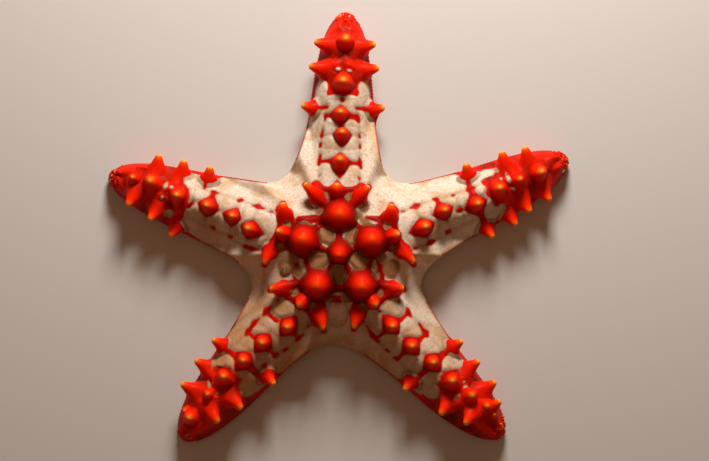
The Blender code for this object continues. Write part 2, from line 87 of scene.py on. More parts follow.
# Of each arm: knobs as s, u and foot radius, then the tips of the left and right side
# spines as s and u, then two shoulder spines as distance and turn of tip and root
Arm = namedtuple("Arm", "heading reach sweep waist knobs left right flanks")
ARMS = (
    Arm(
        90.0, 107.0, -2.6, 0.8,
        ((29.0, 1.4, 4.0), (40.2, 0.2, 4.5), (52.1, -0.5, 4.2), (60.9, 0.5, 4.5),
         (74.5, -0.3, 7.0), (93.7, -0.7, 4.6)),
        ((64.3, 17.6), (81.4, 14.9), (92.0, 13.0)),
        ((64.5, -18.5), (81.8, -15.6), (92.2, -13.6)),
        ((31.1, -24.0, 24.0, -18.5), (33.2, 27.0, 24.3, 21.5)),
    ),
    Arm(
        159.6, 106.8, 2.0, 0.1,
        ((27.9, 0.8, 4.0), (40.7, 3.9, 4.2), (48.9, 1.1, 4.2), (60.8, 0.3, 4.6),
         (74.5, 0.4, 6.0), (87.6, -2.1, 5.0), (95.7, -1.1, 3.0)),
        ((72.1, 17.8), (82.6, 14.1), (93.7, 11.3)),
        ((65.5, -16.6), (77.1, -15.6), (88.3, -14.5)),
        ((32.4, -20.6, 28.1, -12.6), (32.8, 29.4, 29.8, 17.4)),
    ),
    Arm(
        229.2, 105.2, 0.3, 1.0,
        ((29.2, 1.9, 4.0), (39.3, 4.1, 4.2), (51.4, 0.3, 4.4), (62.4, -1.0, 4.4),
         (73.1, -2.9, 5.5), (83.4, -3.3, 3.2), (96.2, -2.8, 4.4), (95.4, -6.6, 2.4)),
        ((61.5, 15.7), (78.5, 11.9), (89.3, 8.2)),
        ((64.0, -17.5), (75.7, -17.4), (87.2, -15.3)),
        ((34.1, -21.0, 27.4, -16.0), (34.2, 29.0, 26.8, 22.0)),
    ),
    Arm(
        305.0, 104.8, 12.8, 0.8,
        ((28.0, -1.4, 4.0), (39.2, -1.5, 4.2), (51.0, -0.8, 4.4), (62.2, 1.2, 4.6),
         (73.4, 1.7, 5.0), (83.8, 3.3, 4.4), (91.6, 4.6, 3.6), (96.4, 4.2, 2.8)),
        ((63.8, 17.2), (75.4, 16.4), (86.9, 14.9), (94.0, 10.2)),
        ((62.3, -15.8), (79.7, -12.1), (89.8, -7.8)),
        ((33.4, -24.5, 26.7, -17.5), (31.8, 25.5, 27.0, 20.5)),
    ),
    Arm(
        21.2, 108.3, 3.6, 1.0,
        ((26.3, -2.2, 4.0), (38.5, -3.5, 4.2), (48.9, -0.2, 4.2), (63.2, -3.1, 4.6),
         (74.5, -0.8, 5.5), (84.4, -0.6, 3.4), (94.2, -1.4, 4.6)),
        ((65.7, 15.3), (82.2, 13.9), (92.2, 11.6)),
        ((64.0, -18.7), (75.3, -17.9), (82.9, -15.3), (92.8, -14.2)),
        ((32.4, -29.5, 26.4, -17.5), (30.5, 21.5, 26.1, 12.5)),
    ),
)
# Distance, angle and foot radius of the disc's knobs, the middle one first
DISC_KNOBS = ((2.2, 261.0, 5.0), (16.1, 90.0, 7.0), (16.8, 162.0, 7.0),
              (17.8, 237.0, 7.0), (18.0, 302.0, 7.0), (14.8, 19.0, 7.0))
print("arms:", len(ARMS), "knobs:", sum(len(arm.knobs) for arm in ARMS) + len(DISC_KNOBS))

# %% Arm coordinates
# Rounds in which the bow of an arm's midline is taken out of a point
UNBOWING_STEPS = 6


def heading_axes(degrees):
    """Unit vectors along a heading and to its left."""
    turn = math.radians(degrees)
    along = np.array([math.cos(turn), math.sin(turn)])
    return along, np.array([-along[1], along[0]])


def polar(radius, degrees):
    """The plan point at a distance and angle from the middle of the disc."""
    return DISC_CENTRE + radius * heading_axes(degrees)[0]


def distance_from(place, points):
    """How far plan points lie from one place."""
    return np.sqrt(((points - place) ** 2).sum(axis=1))


def arm_point(arm, s, u):
    """Plan points of arm coordinates. The midline bows sideways by sweep times the
    square of s over reach, and u is measured square to that line."""
    along, left = heading_axes(arm.heading)
    s, u = np.broadcast_arrays(np.asarray(s, float), np.asarray(u, float))
    bow = arm.sweep * (s / arm.reach) ** 2
    turn = np.arctan(2 * arm.sweep * s / arm.reach**2)
    forward = s - u * np.sin(turn)
    sideways = bow + u * np.cos(turn)
    return DISC_CENTRE + forward[..., None] * along + sideways[..., None] * left


def arm_coordinates(arm, point):
    """The s and u of plan points: the formula of arm_point, undone by repetition."""
    along, left = heading_axes(arm.heading)
    offset = np.asarray(point) - DISC_CENTRE
    forward, sideways = offset @ along, offset @ left
    s = forward
    for _ in range(UNBOWING_STEPS):
        turn = np.arctan(2 * arm.sweep * s / arm.reach**2)
        u = (sideways - arm.sweep * (s / arm.reach) ** 2) / np.cos(turn)
        s = forward + u * np.sin(turn)
    return s, u


print("the first arm's tip lies at", np.round(arm_point(ARMS[0], ARMS[0].reach, 0.0), 1), "mm")

# %% [markdown]
# ## Outline and dome
# Seen from above, each arm narrows evenly, ends round, and meets its neighbour in a
# smooth notch. Across, it is an arch, and the five arches flow together into the dome of
# the disc. This could be sculpted, but one height function for the whole animal puts
# every knob, spine and bead on exactly the same skin.

# %% Outline
ARM_HALF_WIDTH, ARM_NARROWING = 23.2, 0.1325
WAIST_PLACE, WAIST_LENGTH = 56.0, 17.0
# The higher this power, the blunter the arm's end
OUTLINE_END = 12
SECTOR_START, SECTOR_OVERLAP = -1.0, 40.0


def smooth(value, low=0.0, high=1.0):
    """0 below low, 1 above high, and an S-curve between them."""
    share = np.clip((value - low) / (high - low), 0.0, 1.0)
    return share * share * (3 - 2 * share)


def side_of(u):
    """1 on an arm's left and -1 on its right."""
    return np.where(u < 0, -1, 1)


def taper(arm, s, power):
    """1 along the arm, falling to 0 in a round end at its reach."""
    share = np.clip(s / arm.reach, 0.0, 1.0)
    return np.sqrt(1.0 - share**power)


def notch_point(arm, side):
    """The notch on the arm's left (side 1) or right (side -1)."""
    number = ARMS.index(arm)
    angle, radius = NOTCHES[number] if side > 0 else NOTCHES[number - 1]
    return polar(radius, angle)


def plain_half_width(arm, s):
    """A straight taper less a slim waist: width - rate * s - waist * bell(s)."""
    waist = arm.waist * np.exp(-(((s - WAIST_PLACE) / WAIST_LENGTH) ** 2))
    return ARM_HALF_WIDTH - ARM_NARROWING * s - waist


def half_width(arm, s, side):
    """The taper, plus past the notch a fillet that fades as exp(-distance / fade)."""
    s = np.asarray(s, float)
    width = np.zeros(np.broadcast(s, side).shape)
    for sign in (-1, 1):
        notch_s, notch_u = arm_coordinates(arm, notch_point(arm, sign))
        notch_u = abs(notch_u)
        slope = notch_s / notch_u
        extra = notch_u - plain_half_width(arm, notch_s)
        fade = extra / (slope - ARM_NARROWING)
        outer = plain_half_width(arm, s) * taper(arm, s, OUTLINE_END)
        outer = outer + extra * np.exp(-np.maximum(s - notch_s, 0.0) / fade)
        inner = notch_u + slope * (notch_s - s)
        width = np.where(side == sign, np.where(s < notch_s, inner, outer), width)
    return width


def in_sector(arm, s, u):
    """Whether points lie between the directions of the arm's two notches."""
    inside = s > SECTOR_START
    for side in (-1, 1):
        notch_s, notch_u = arm_coordinates(arm, notch_point(arm, side))
        inside = inside & ((u * notch_s - s * notch_u) * side <= SECTOR_OVERLAP)
    return inside


print("half width at the waist:", round(float(half_width(ARMS[0], WAIST_PLACE, 1)), 2), "mm")

# %% Dome
CREST_RISE, CREST_FALL, CREST_ROUNDING = 20.8, 0.085, 4.0
# Powers: how blunt the crest's end is, and how flat the arch is on top and at its sides
CREST_END, ARCH_TOP, ARCH_SIDE = 10, 1.2, 0.8
DOME_BLEND, BEHIND_MIDDLE = 8, 9.0
EDGE_HEIGHT, TIP_EDGE_HEIGHT = 5.0, 2.5
# How steeply the surface falls outside the outline, and for how far
OUTSIDE_FALL, OUTSIDE_REACH = 12.0, 4.0
LEAST_WIDTH, FAR_AWAY = 0.01, 1e3


def rounded(value):
    """Grows like the square near 0 and evenly further out: sqrt(v * v + r * r) - r."""
    return np.sqrt(value**2 + CREST_ROUNDING**2) - CREST_ROUNDING


def smooth_top(point):
    """Height of the plain upper surface: an edge height plus the eighth root of the
    summed eighth powers of five arches, each rise * (1 - share ** 1.2) ** 0.8, falling
    steeply outside the outline. The share of the half width is rounded at the ridge."""
    point = np.asarray(point, float)
    blend = np.zeros(point.shape[:-1])
    edge = np.full(point.shape[:-1], EDGE_HEIGHT)
    outside = np.full(point.shape[:-1], FAR_AWAY)
    for arm in ARMS:
        s, u = arm_coordinates(arm, point)
        wide = np.maximum(half_width(arm, s, side_of(u)), LEAST_WIDTH)
        arch = (1.0 - np.minimum(rounded(u) / rounded(wide), 1.0) ** ARCH_TOP) ** ARCH_SIDE
        near = smooth(s, -BEHIND_MIDDLE, 0.0)
        end = taper(arm, s, CREST_END)
        rise = (CREST_RISE - CREST_FALL * np.clip(s, 0.0, arm.reach)) * end * near
        blend += (rise * arch) ** DOME_BLEND
        edge = np.minimum(edge, TIP_EDGE_HEIGHT + (EDGE_HEIGHT - TIP_EDGE_HEIGHT) * end)
        beyond = np.maximum(np.abs(u) - wide, 0.0)
        beyond = np.where(in_sector(arm, s, u), beyond, FAR_AWAY)
        outside = np.minimum(outside, beyond)
    dome = edge + blend ** (1.0 / DOME_BLEND)
    return dome - OUTSIDE_FALL * np.minimum(outside, OUTSIDE_REACH)


print("height of the disc's middle:", round(float(smooth_top(DISC_CENTRE)), 2), "mm")

# %% [markdown]
# ## The red pattern
# The red is a net of raised plates: a diamond under each knob, thin bars that join them
# to the breathing pores, and solid red ends with lobes of cream cut from them. It could
# be painted by hand, but the knobs' places are known already. So each mark is a shape
# with a signed distance in millimetres, positive inside: a diamond, an oval, or a line
# with round ends. Their smooth maximum is the net, and ovals of cream are cut from it.

# %% Tables of the arms' pattern
# s of the inner and outer corner of each diamond on the ridge after an arm's first knob
CORNERS = (
    ((32.0, 43.3), (45.6, 55.0), (55.0, 64.2), (68.3, 80.5)),
    ((33.3, 44.0), (44.8, 53.6), (55.0, 65.2), (69.5, 79.0)),
    ((32.8, 44.0), (46.0, 56.5), (57.5, 68.0), (69.0, 78.0)),
    ((32.5, 43.3), (45.7, 55.7), (57.2, 67.3), (68.5, 79.0)),
    ((30.6, 42.8), (43.0, 52.8), (56.8, 67.6), (68.7, 79.0)),
)
# Bars, pits and bridges of each arm: s, u and half width, twice
BARS = (
    ((39.6, 4.0, 0.8, 39.6, 8.6, 0.5), (38.2, 9.5, 0.6, 42.3, 8.9, 0.55),
     (38.8, -4.0, 0.8, 38.8, -8.0, 0.5), (37.0, -9.0, 0.6, 39.6, -8.3, 0.6),
     (39.6, -8.3, 0.6, 41.3, -8.2, 0.3), (46.4, 8.9, 0.7, 47.3, 8.9, 0.7),
     (50.9, 8.5, 0.8, 53.1, 8.1, 0.35), (46.0, -8.3, 0.55, 46.9, -8.3, 0.55),
     (50.7, -8.0, 0.5, 51.8, -7.9, 0.4), (32.7, 9.4, 0.3, 33.3, 9.2, 0.4),
     (31.9, -8.4, 0.55, 32.6, -8.1, 0.5), (30.2, 1.2, 0.7, 30.4, 1.2, 0.7),
     (59.7, 4.0, 0.9, 59.7, 6.9, 0.6), (57.5, 7.2, 0.3, 59.8, 7.0, 0.5),
     (59.5, -4.2, 1.3, 59.0, -7.0, 0.8), (57.6, -7.4, 0.6, 60.2, -6.6, 0.5),
     (63.5, 6.5, 0.75, 63.4, 10.0, 0.6), (63.4, -6.3, 0.7, 63.8, -10.0, 0.8),
     (66.3, -0.2, 0.9, 66.5, -0.2, 0.9), (72.5, 4.0, 1.6, 69.9, 5.9, 0.8),
     (72.5, -4.0, 1.6, 70.1, -6.4, 0.8), (28.9, 10.3, 2.2, 25.0, 9.2, 2.4),
     (27.4, 8.4, 1.7, 26.9, 6.2, 0.9), (26.9, 6.2, 0.9, 26.5, 3.0, 1.6),
     (28.4, -9.2, 1.9, 24.5, -8.0, 2.2), (27.2, -7.0, 1.6, 26.6, -5.2, 1.4),
     (26.6, -5.2, 1.4, 26.3, -2.0, 1.8)),
    ((37.3, -6.6, 0.35, 40.0, -6.8, 0.85), (40.0, -6.8, 0.85, 42.2, -6.5, 0.3),
     (33.5, -6.5, 0.45, 34.2, -6.3, 0.45), (47.7, -7.2, 0.8, 48.7, -6.5, 0.8),
     (60.1, -3.0, 1.3, 60.2, -6.3, 0.8), (58.5, -6.5, 0.35, 61.0, -6.4, 0.4),
     (33.5, 11.0, 0.4, 36.5, 11.3, 0.6), (36.5, 11.3, 0.6, 39.5, 11.2, 0.8),
     (46.5, 9.3, 0.7, 47.5, 9.3, 0.7), (55.0, 8.2, 0.7, 56.0, 8.0, 0.7),
     (64.7, -6.8, 0.6, 65.2, -10.5, 1.2), (67.3, 1.3, 0.8, 68.5, 3.0, 0.8),
     (30.5, -8.5, 2.0, 28.6, -4.4, 1.2), (28.6, -4.4, 1.2, 27.5, -2.0, 1.8),
     (28.9, 9.5, 2.4, 28.4, 5.5, 1.3), (28.4, 5.5, 1.3, 27.5, 3.0, 1.8)),
    ((39.5, 7.0, 0.8, 39.4, 10.4, 0.5), (37.3, 11.0, 0.5, 40.9, 10.4, 0.45),
     (39.9, -1.5, 1.0, 40.2, -6.8, 0.6), (36.7, -7.4, 0.35, 39.3, -7.8, 0.95),
     (39.3, -7.8, 0.95, 42.0, -7.4, 0.35), (51.7, 4.5, 0.8, 51.6, 7.6, 0.45),
     (50.4, 8.1, 0.6, 52.2, 7.8, 0.5), (46.2, 9.7, 0.6, 47.4, 9.2, 0.7),
     (51.8, -4.5, 0.8, 51.8, -7.5, 0.45), (44.3, -7.9, 0.3, 46.8, -8.3, 0.9),
     (46.8, -8.3, 0.9, 51.5, -7.9, 0.75), (51.5, -7.9, 0.75, 53.4, -7.6, 0.35),
     (62.6, 3.0, 1.6, 62.8, 9.8, 0.9), (57.4, 6.9, 0.65, 58.5, 6.7, 0.65),
     (62.9, -4.5, 1.4, 63.6, -10.3, 0.7), (32.6, -6.8, 0.55, 33.3, -6.6, 0.5),
     (32.4, 10.4, 0.35, 33.2, 10.4, 0.35), (29.0, 11.5, 2.3, 27.9, 7.0, 0.9),
     (27.9, 7.0, 0.9, 27.6, 4.2, 1.6), (29.6, -8.8, 2.2, 28.7, -4.2, 1.0),
     (28.7, -4.2, 1.0, 28.2, -1.0, 1.7)),
    ((39.2, 3.3, 0.9, 38.9, 7.2, 0.5), (37.4, 8.6, 0.65, 38.7, 7.8, 0.65),
     (38.7, 7.8, 0.65, 41.0, 7.5, 0.3), (38.7, -4.8, 0.8, 38.5, -9.5, 0.5),
     (31.8, -9.7, 0.35, 36.3, -10.5, 0.8), (36.3, -10.5, 0.8, 40.4, -10.2, 0.35),
     (51.0, 3.6, 0.9, 50.8, 7.4, 0.6), (45.8, 8.2, 0.65, 49.0, 7.7, 0.45),
     (49.0, 7.7, 0.45, 50.4, 8.0, 0.8), (50.4, 8.0, 0.8, 52.1, 7.3, 0.4),
     (50.6, -4.8, 0.9, 50.8, -8.6, 0.6), (49.4, -9.4, 0.5, 50.6, -8.9, 0.5),
     (44.8, -9.9, 0.6, 46.0, -9.5, 0.5), (62.5, 4.8, 1.3, 62.4, 7.0, 1.1),
     (62.4, 7.0, 1.1, 62.4, 10.2, 0.7), (62.3, -3.0, 1.2, 62.2, -9.8, 0.8),
     (31.9, 7.8, 0.35, 32.4, 7.4, 0.35), (30.6, -1.5, 0.6, 30.9, -1.5, 0.6),
     (28.8, 9.3, 2.0, 27.4, 4.6, 1.1), (27.4, 4.6, 1.1, 27.0, 1.5, 1.8),
     (27.5, -10.5, 2.4, 24.5, -9.0, 2.4)),
    ((36.9, 6.5, 0.5, 38.2, 6.5, 1.1), (38.2, 6.5, 1.1, 39.9, 6.5, 0.4),
     (31.7, 6.4, 0.5, 32.6, 6.2, 0.4), (35.5, 6.6, 0.2, 35.7, 6.6, 0.2),
     (36.5, -10.5, 0.5, 38.2, -10.3, 0.9), (38.2, -10.3, 0.9, 39.8, -10.2, 0.5),
     (30.6, -10.2, 0.6, 31.6, -10.5, 0.6), (47.4, 2.8, 0.9, 47.5, 5.6, 0.5),
     (46.6, 6.4, 0.6, 48.0, 5.7, 0.6), (54.5, 4.6, 0.5, 55.2, 4.5, 0.5),
     (54.2, -2.5, 0.9, 55.2, -2.5, 1.0), (62.8, 1.0, 1.7, 62.9, 4.8, 0.9),
     (61.4, 4.2, 0.4, 65.0, 4.0, 0.35), (62.9, 4.8, 0.9, 63.8, 8.8, 0.8),
     (63.0, -5.0, 1.4, 63.2, -11.0, 1.0), (46.3, -8.9, 0.8, 47.5, -8.9, 0.8),
     (28.6, 8.0, 2.0, 26.6, 4.0, 1.2), (26.6, 4.0, 1.2, 25.5, 1.0, 1.8),
     (26.5, -10.5, 2.4, 25.4, -7.0, 1.0), (25.4, -7.0, 1.0, 25.0, -4.0, 1.8),
     (72.5, 4.0, 1.5, 70.2, 5.0, 0.8), (72.5, -4.0, 1.5, 71.0, -6.0, 1.0)),
)
print("bars:", sum(map(len, BARS)))

# %% Tables of the red ends
# Where each arm's red end starts, and the cream lobes in it, then small flecks: each as
# s, u, half length, half width and turn
END_STARTS = (69.0, 69.5, 69.0, 68.5, 68.7)
LOBES = (
    ((70.4, 8.9, 5.7, 3.1, 0), (70.4, -9.2, 5.7, 3.0, 0)),
    ((70.6, -8.0, 4.5, 4.0, 0), (67.6, -4.0, 3.0, 4.6, 15), (67.5, 10.2, 3.6, 2.2, 0),
     (76.2, 8.0, 2.3, 1.5, 0)),
    ((68.9, 7.5, 5.7, 3.9, 0), (69.4, -8.9, 5.4, 2.9, 0), (67.0, -5.5, 2.6, 3.2, 0)),
    ((67.5, 8.2, 4.4, 4.1, 0), (67.3, 4.0, 2.2, 3.4, 0), (68.5, -7.4, 5.6, 3.6, 0),
     (66.8, -2.8, 3.2, 2.5, 0)),
    ((70.6, 7.6, 5.8, 2.6, 0), (66.8, 1.9, 2.7, 2.9, 0), (69.3, -8.6, 5.4, 3.3, 0),
     (67.4, -4.5, 2.6, 3.0, 0)),
)
FLECKS = (
    ((80.1, 2.2, 0.75, 1.2, 0), (79.7, -2.8, 0.6, 1.1, 0)),
    ((78.2, -2.7, 0.85, 0.65, 0), (80.9, -2.3, 0.9, 1.7, 0), (80.7, 3.2, 0.6, 1.0, 0)),
    ((79.9, -5.8, 0.8, 1.7, -35), (80.2, -0.3, 0.6, 0.8, 0)),
    ((79.3, 4.0, 0.9, 1.1, 0), (79.3, -1.0, 0.6, 1.1, 0), (77.2, 5.3, 0.5, 0.6, 0)),
    ((79.9, 1.6, 0.9, 1.9, 0), (80.3, -3.3, 0.8, 0.9, 0), (77.0, 2.9, 0.6, 0.7, 0),
     (76.9, 6.4, 0.7, 1.2, 20)),
)
print("lobes:", sum(map(len, LOBES)), "flecks:", sum(map(len, FLECKS)))

# %% Tables of the disc's pattern
# Cream pads on the disc: distance, angle, half length, half width and how triangular
DISC_PADS = (
    (8.7, 132.0, 4.3, 3.5, 0.1), (8.3, 46.0, 4.3, 3.5, 0.1), (9.6, 205.0, 4.5, 4.4, 0.12),
    (9.1, 332.0, 4.3, 3.9, 0.12), (10.0, 265.0, 4.4, 4.2, 0.14), (24.5, 104.0, 2.0, 1.6, 0),
    (23.8, 80.0, 2.0, 1.8, 0), (19.2, 116.0, 1.2, 1.8, 0), (17.6, 65.0, 1.6, 2.2, 0),
    (16.8, 48.0, 1.5, 2.8, 0), (25.4, 153.0, 1.6, 1.8, 0), (19.3, 143.0, 1.7, 2.0, 0),
    (25.8, 175.0, 1.8, 1.5, 0), (19.9, 188.0, 1.9, 2.1, 0), (24.2, 196.0, 3.2, 3.4, 0.1),
    (20.1, 207.0, 1.9, 2.6, 0), (23.6, 5.0, 1.8, 1.5, 0), (18.5, 351.0, 1.8, 2.0, 0),
    (23.4, 342.0, 3.4, 4.2, 0.1), (18.7, 326.0, 1.5, 2.1, 0), (23.1, 28.0, 1.6, 1.7, 0),
    (25.9, 222.0, 1.8, 1.7, 0), (25.8, 244.0, 1.9, 1.8, 0), (20.3, 256.0, 1.6, 1.9, 0),
    (19.9, 278.0, 1.6, 2.1, 0), (25.1, 294.0, 2.1, 2.0, 0), (24.5, 314.0, 1.8, 1.8, 0),
    (24.4, 121.5, 2.3, 1.9, 0), (22.2, 61.5, 2.4, 1.9, 0),
)
# Red that joins the disc's bodies round its outer pads: distance, angle, half width, twice
DISC_BARS = (
    (22.0, 141.0, 1.6, 16.5, 118.0, 1.9), (22.0, 40.0, 1.4, 19.0, 52.0, 0.7),
    (19.3, 182.0, 2.2, 20.6, 200.0, 1.6), (20.6, 200.0, 1.6, 21.5, 217.0, 2.2),
    (17.5, 355.0, 2.2, 19.3, 339.0, 1.4), (19.3, 339.0, 1.4, 21.5, 322.0, 2.2),
    (20.6, 254.0, 1.5, 20.2, 268.0, 1.2), (20.2, 268.0, 1.2, 20.4, 283.0, 1.5),
)
# Larger cream plates at the roots of the two lower arms, which only their edges show
LOW_PLATES = (
    (34.0, 223.0, 4.0, 4.3, 0), (33.3, 240.0, 5.0, 3.0, 0), (26.2, 268.0, 5.6, 4.4, 0),
    (32.6, 298.0, 5.5, 3.0, 0), (32.9, 314.0, 4.2, 4.6, 0),
)
print("pads:", len(DISC_PADS), "plates:", len(LOW_PLATES))

# %% Signed distance of lines
def line_marks(point, starts, ends, start_radii, end_radii):
    """Distance inside each round-ended line: its half width, which changes evenly from
    start to end, less the distance to the segment."""
    along = ends - starts
    length = np.maximum((along**2).sum(axis=1), 1e-9)
    offset = point[:, None, :] - starts[None]
    share = np.clip((offset * along).sum(axis=2) / length, 0.0, 1.0)
    nearest = offset - share[..., None] * along
    return start_radii + (end_radii - start_radii) * share - np.sqrt((nearest**2).sum(axis=2))


def table_of(lines):
    """The arrays that line_marks takes, from (start, half width, end, half width)."""
    starts, start_radii, ends, end_radii = zip(*lines)
    return np.array(starts), np.array(ends), np.array(start_radii), np.array(end_radii)


sample_line = table_of([((0.0, 0.0), 1.0, (4.0, 0.0), 0.6)])
print("0.3 mm beside a thin line's middle:",
      round(float(line_marks(np.array([[2.0, 0.3]]), *sample_line)[0, 0]), 2), "mm inside")

# %% Signed distance of diamonds and ovals
KNOB_POWER = 1.25
# From an arm's first knob to its widest line and its inner and outer corner
FIRST_KNOB = (-3.0, -9.0, 1.0)
KNOB_LEAN, KNOB_WIDTH, WIDEST_KNOB = 1.0, 1.03, 5.8
# Of a knob whose corners no table gives: half lengths and half width in foot radii
LOOSE_INNER, LOOSE_OUTER, LOOSE_WIDTH = 1.25, 1.1, 1.1
OUTSIDE = -9.0


def knob_shape(number, place):
    """Of a ridge knob: s of its widest line, its inner and outer corner and half width."""
    s, _, foot = ARMS[number].knobs[place]
    if place == 0:
        return *(s + step for step in FIRST_KNOB), LOOSE_WIDTH * foot
    widest = s - KNOB_LEAN
    if place <= len(CORNERS[number]):
        return widest, *CORNERS[number][place - 1], min(KNOB_WIDTH * foot, WIDEST_KNOB)
    return widest, widest - LOOSE_INNER * foot, widest + LOOSE_OUTER * foot, LOOSE_WIDTH * foot


def diamond(arm, point, u0, widest, inner, outer, wide):
    """About the distance inside a round-cornered diamond: (1 - norm) * its half width,
    where the norm's low power gives almost straight sides."""
    s, u = arm_coordinates(arm, point)
    long = np.where(s < widest, widest - inner, outer - widest)
    norm = np.abs((s - widest) / long) ** KNOB_POWER + np.abs((u - u0) / wide) ** KNOB_POWER
    return (1.0 - norm ** (1 / KNOB_POWER)) * wide


def ovals(offset_long, offset_wide, long, wide, corners=0.0):
    """About the distance inside an oval. Corners draws it towards a triangle that
    points inwards: its radius is times 1 + corners * cos(3 * angle)."""
    norm = np.hypot(offset_long / long, offset_wide / wide)
    angle = np.arctan2(offset_wide / wide, -offset_long / long)
    return (1.0 - norm / (1.0 + corners * np.cos(3 * angle))) * min(long, wide)


def disc_ovals(point, table):
    """Distance inside the nearest of the disc's ovals, each with its length outwards."""
    inside = np.full(len(point), OUTSIDE)
    for radius, angle, long, wide, corners in table:
        along, left = heading_axes(angle)
        offset = point - polar(radius, angle)
        inside = np.maximum(inside, ovals(offset @ along, offset @ left, long, wide, corners))
    return inside


def arm_ovals(point, tables):
    """Distance inside the nearest oval of the arms' tables."""
    inside = np.full(len(point), OUTSIDE)
    for arm, table in zip(ARMS, tables):
        s, u = arm_coordinates(arm, point)
        for s0, u0, long, wide, turn in table:
            along, left = heading_axes(turn)
            offset = np.stack([s - s0, u - u0], axis=1)
            inside = np.maximum(inside, ovals(offset @ along, offset @ left, long, wide))
    return inside


print("the disc's middle lies", round(-float(disc_ovals(DISC_CENTRE[None], DISC_PADS)[0]), 2),
      "mm outside the pads")

# %% Lines of the red net
# Half widths of the red lines: middle knob to the others, between those, out to the
# arms, out to the shoulder spines' roots, to their tips, and up and along a side spine
MIDDLE_LINE, RING_LINE, ARM_LINE = (1.0, 2.0), 2.2, (4.6, 2.8)
ROOT_LINE, TIP_LINE, APEX_LINE, EDGE_LINE = 2.6, 1.3, 0.5, (3.1, 2.2)
# Where lines end: before the first knob's tip, and near each side spine's root
FIRST_KNOB_BACK, SPINE_APEX, APEX_BACK, EDGE_BACK, EDGE_INSET = 2.2, 10.3, 1.3, 1.2, 0.5


def net_lines():
    """Every red line as a start, an end and two half widths, in plan points."""
    lines = []
    for number, arm in enumerate(ARMS):
        first = arm_point(arm, arm.knobs[0][0] - FIRST_KNOB_BACK, arm.knobs[0][1])
        middle, knob, after = (
            polar(*DISC_KNOBS[place][:2]) for place in (0, number + 1, (number + 1) % 5 + 1))
        lines.append((middle, MIDDLE_LINE[0], knob, MIDDLE_LINE[1]))
        lines.append((knob, RING_LINE, after, RING_LINE))
        lines.append((knob, ARM_LINE[0], first, ARM_LINE[1]))
        for tip_radius, tip_turn, root_radius, root_turn in arm.flanks:
            root = polar(root_radius, arm.heading + root_turn)
            tip = polar(tip_radius, arm.heading + tip_turn)
            lines.append((knob, ROOT_LINE, root, ROOT_LINE))
            lines.append((root, ROOT_LINE, tip, TIP_LINE))
        for s0, u0, r0, s1, u1, r1 in BARS[number]:
            lines.append((arm_point(arm, s0, u0), r0, arm_point(arm, s1, u1), r1))
        for s, u in arm.left + arm.right:
            side = math.copysign(1, u)
            edge_u = side * (float(half_width(arm, s, side)) - EDGE_INSET)
            edge = arm_point(arm, s - EDGE_BACK, edge_u)
            apex = arm_point(arm, s - APEX_BACK, side * SPINE_APEX)
            lines.append((apex, APEX_LINE, edge, EDGE_LINE[0]))
            lines.append((edge, EDGE_LINE[0], arm_point(arm, s, u), EDGE_LINE[1]))
    for radius0, angle0, half0, radius1, angle1, half1 in DISC_BARS:
        lines.append((polar(radius0, angle0), half0, polar(radius1, angle1), half1))
    return table_of(lines)


NET_LINES = net_lines()
print("lines in the net:", len(NET_LINES[0]))

# %% The red net
# The smaller this is, the wider marks flow together where they meet
NET_BLEND = 1.8
DISC_KNOB_SHARE = 0.8
# The red margin along an arm's edge: its width, what it gains, and where it does
MARGIN_WIDTH, MARGIN_GAIN, MARGIN_GROWS = 0.35, 1.2, (58.0, 68.0)
MARGIN_START, MOST_MARGIN, MOST_END = 40.0, 3.0, 4.0
CUT_GAP = 0.1


def red_net(point):
    """Distance inside the red: log of the sum of exp(k * distance) over all marks,
    divided by k. The red ends are cut by the lobes before the arms' marks are added,
    and pads and flecks are cut last. It also gives the distance inside the pads and
    the lobes."""
    pads, lobes = disc_ovals(point, DISC_PADS), arm_ovals(point, LOBES)
    ends = np.full(len(point), OUTSIDE)
    total = np.exp(NET_BLEND * line_marks(point, *NET_LINES)).sum(axis=1)
    for radius, angle, foot in DISC_KNOBS:
        away = distance_from(polar(radius, angle), point)
        total += np.exp(NET_BLEND * (DISC_KNOB_SHARE * foot - away))
    for number, arm in enumerate(ARMS):
        for place, (_, u0, _) in enumerate(arm.knobs):
            total += np.exp(NET_BLEND * diamond(arm, point, u0, *knob_shape(number, place)))
        s, u = arm_coordinates(arm, point)
        wide = half_width(arm, s, side_of(u))
        margin = MARGIN_WIDTH + MARGIN_GAIN * smooth(s, *MARGIN_GROWS) - (wide - np.abs(u))
        margin = np.where(s > MARGIN_START, np.clip(margin, OUTSIDE, MOST_MARGIN), OUTSIDE)
        end = np.minimum(s - END_STARTS[number], MOST_END)
        ends = np.maximum(ends, np.maximum(end, margin))
    total += np.exp(NET_BLEND * np.minimum(ends, -lobes))
    red = np.log(np.maximum(total, 1e-12)) / NET_BLEND
    cuts = np.maximum(pads, arm_ovals(point, FLECKS))
    return np.minimum(red, -cuts - CUT_GAP), pads, lobes


print("the disc's middle lies", round(float(red_net(DISC_CENTRE[None])[0][0]), 2), "mm in the red")

# %% [markdown]
# ## Relief
# The red bodies of the disc swell and the cream pads between them are low cushions. On
# the arms the plates swell between sunken grooves, and in the red ends a ridge runs from
# each side spine inwards, with hollows and lumps between. It could be a displacement in
# the material, but as heights added to the dome it is real geometry, and the knobs and
# spines can be laid on it later.

# %% Valleys
GROOVE_STATIONS = (28.0, 40.0, 50.0, 60.0, 69.0)
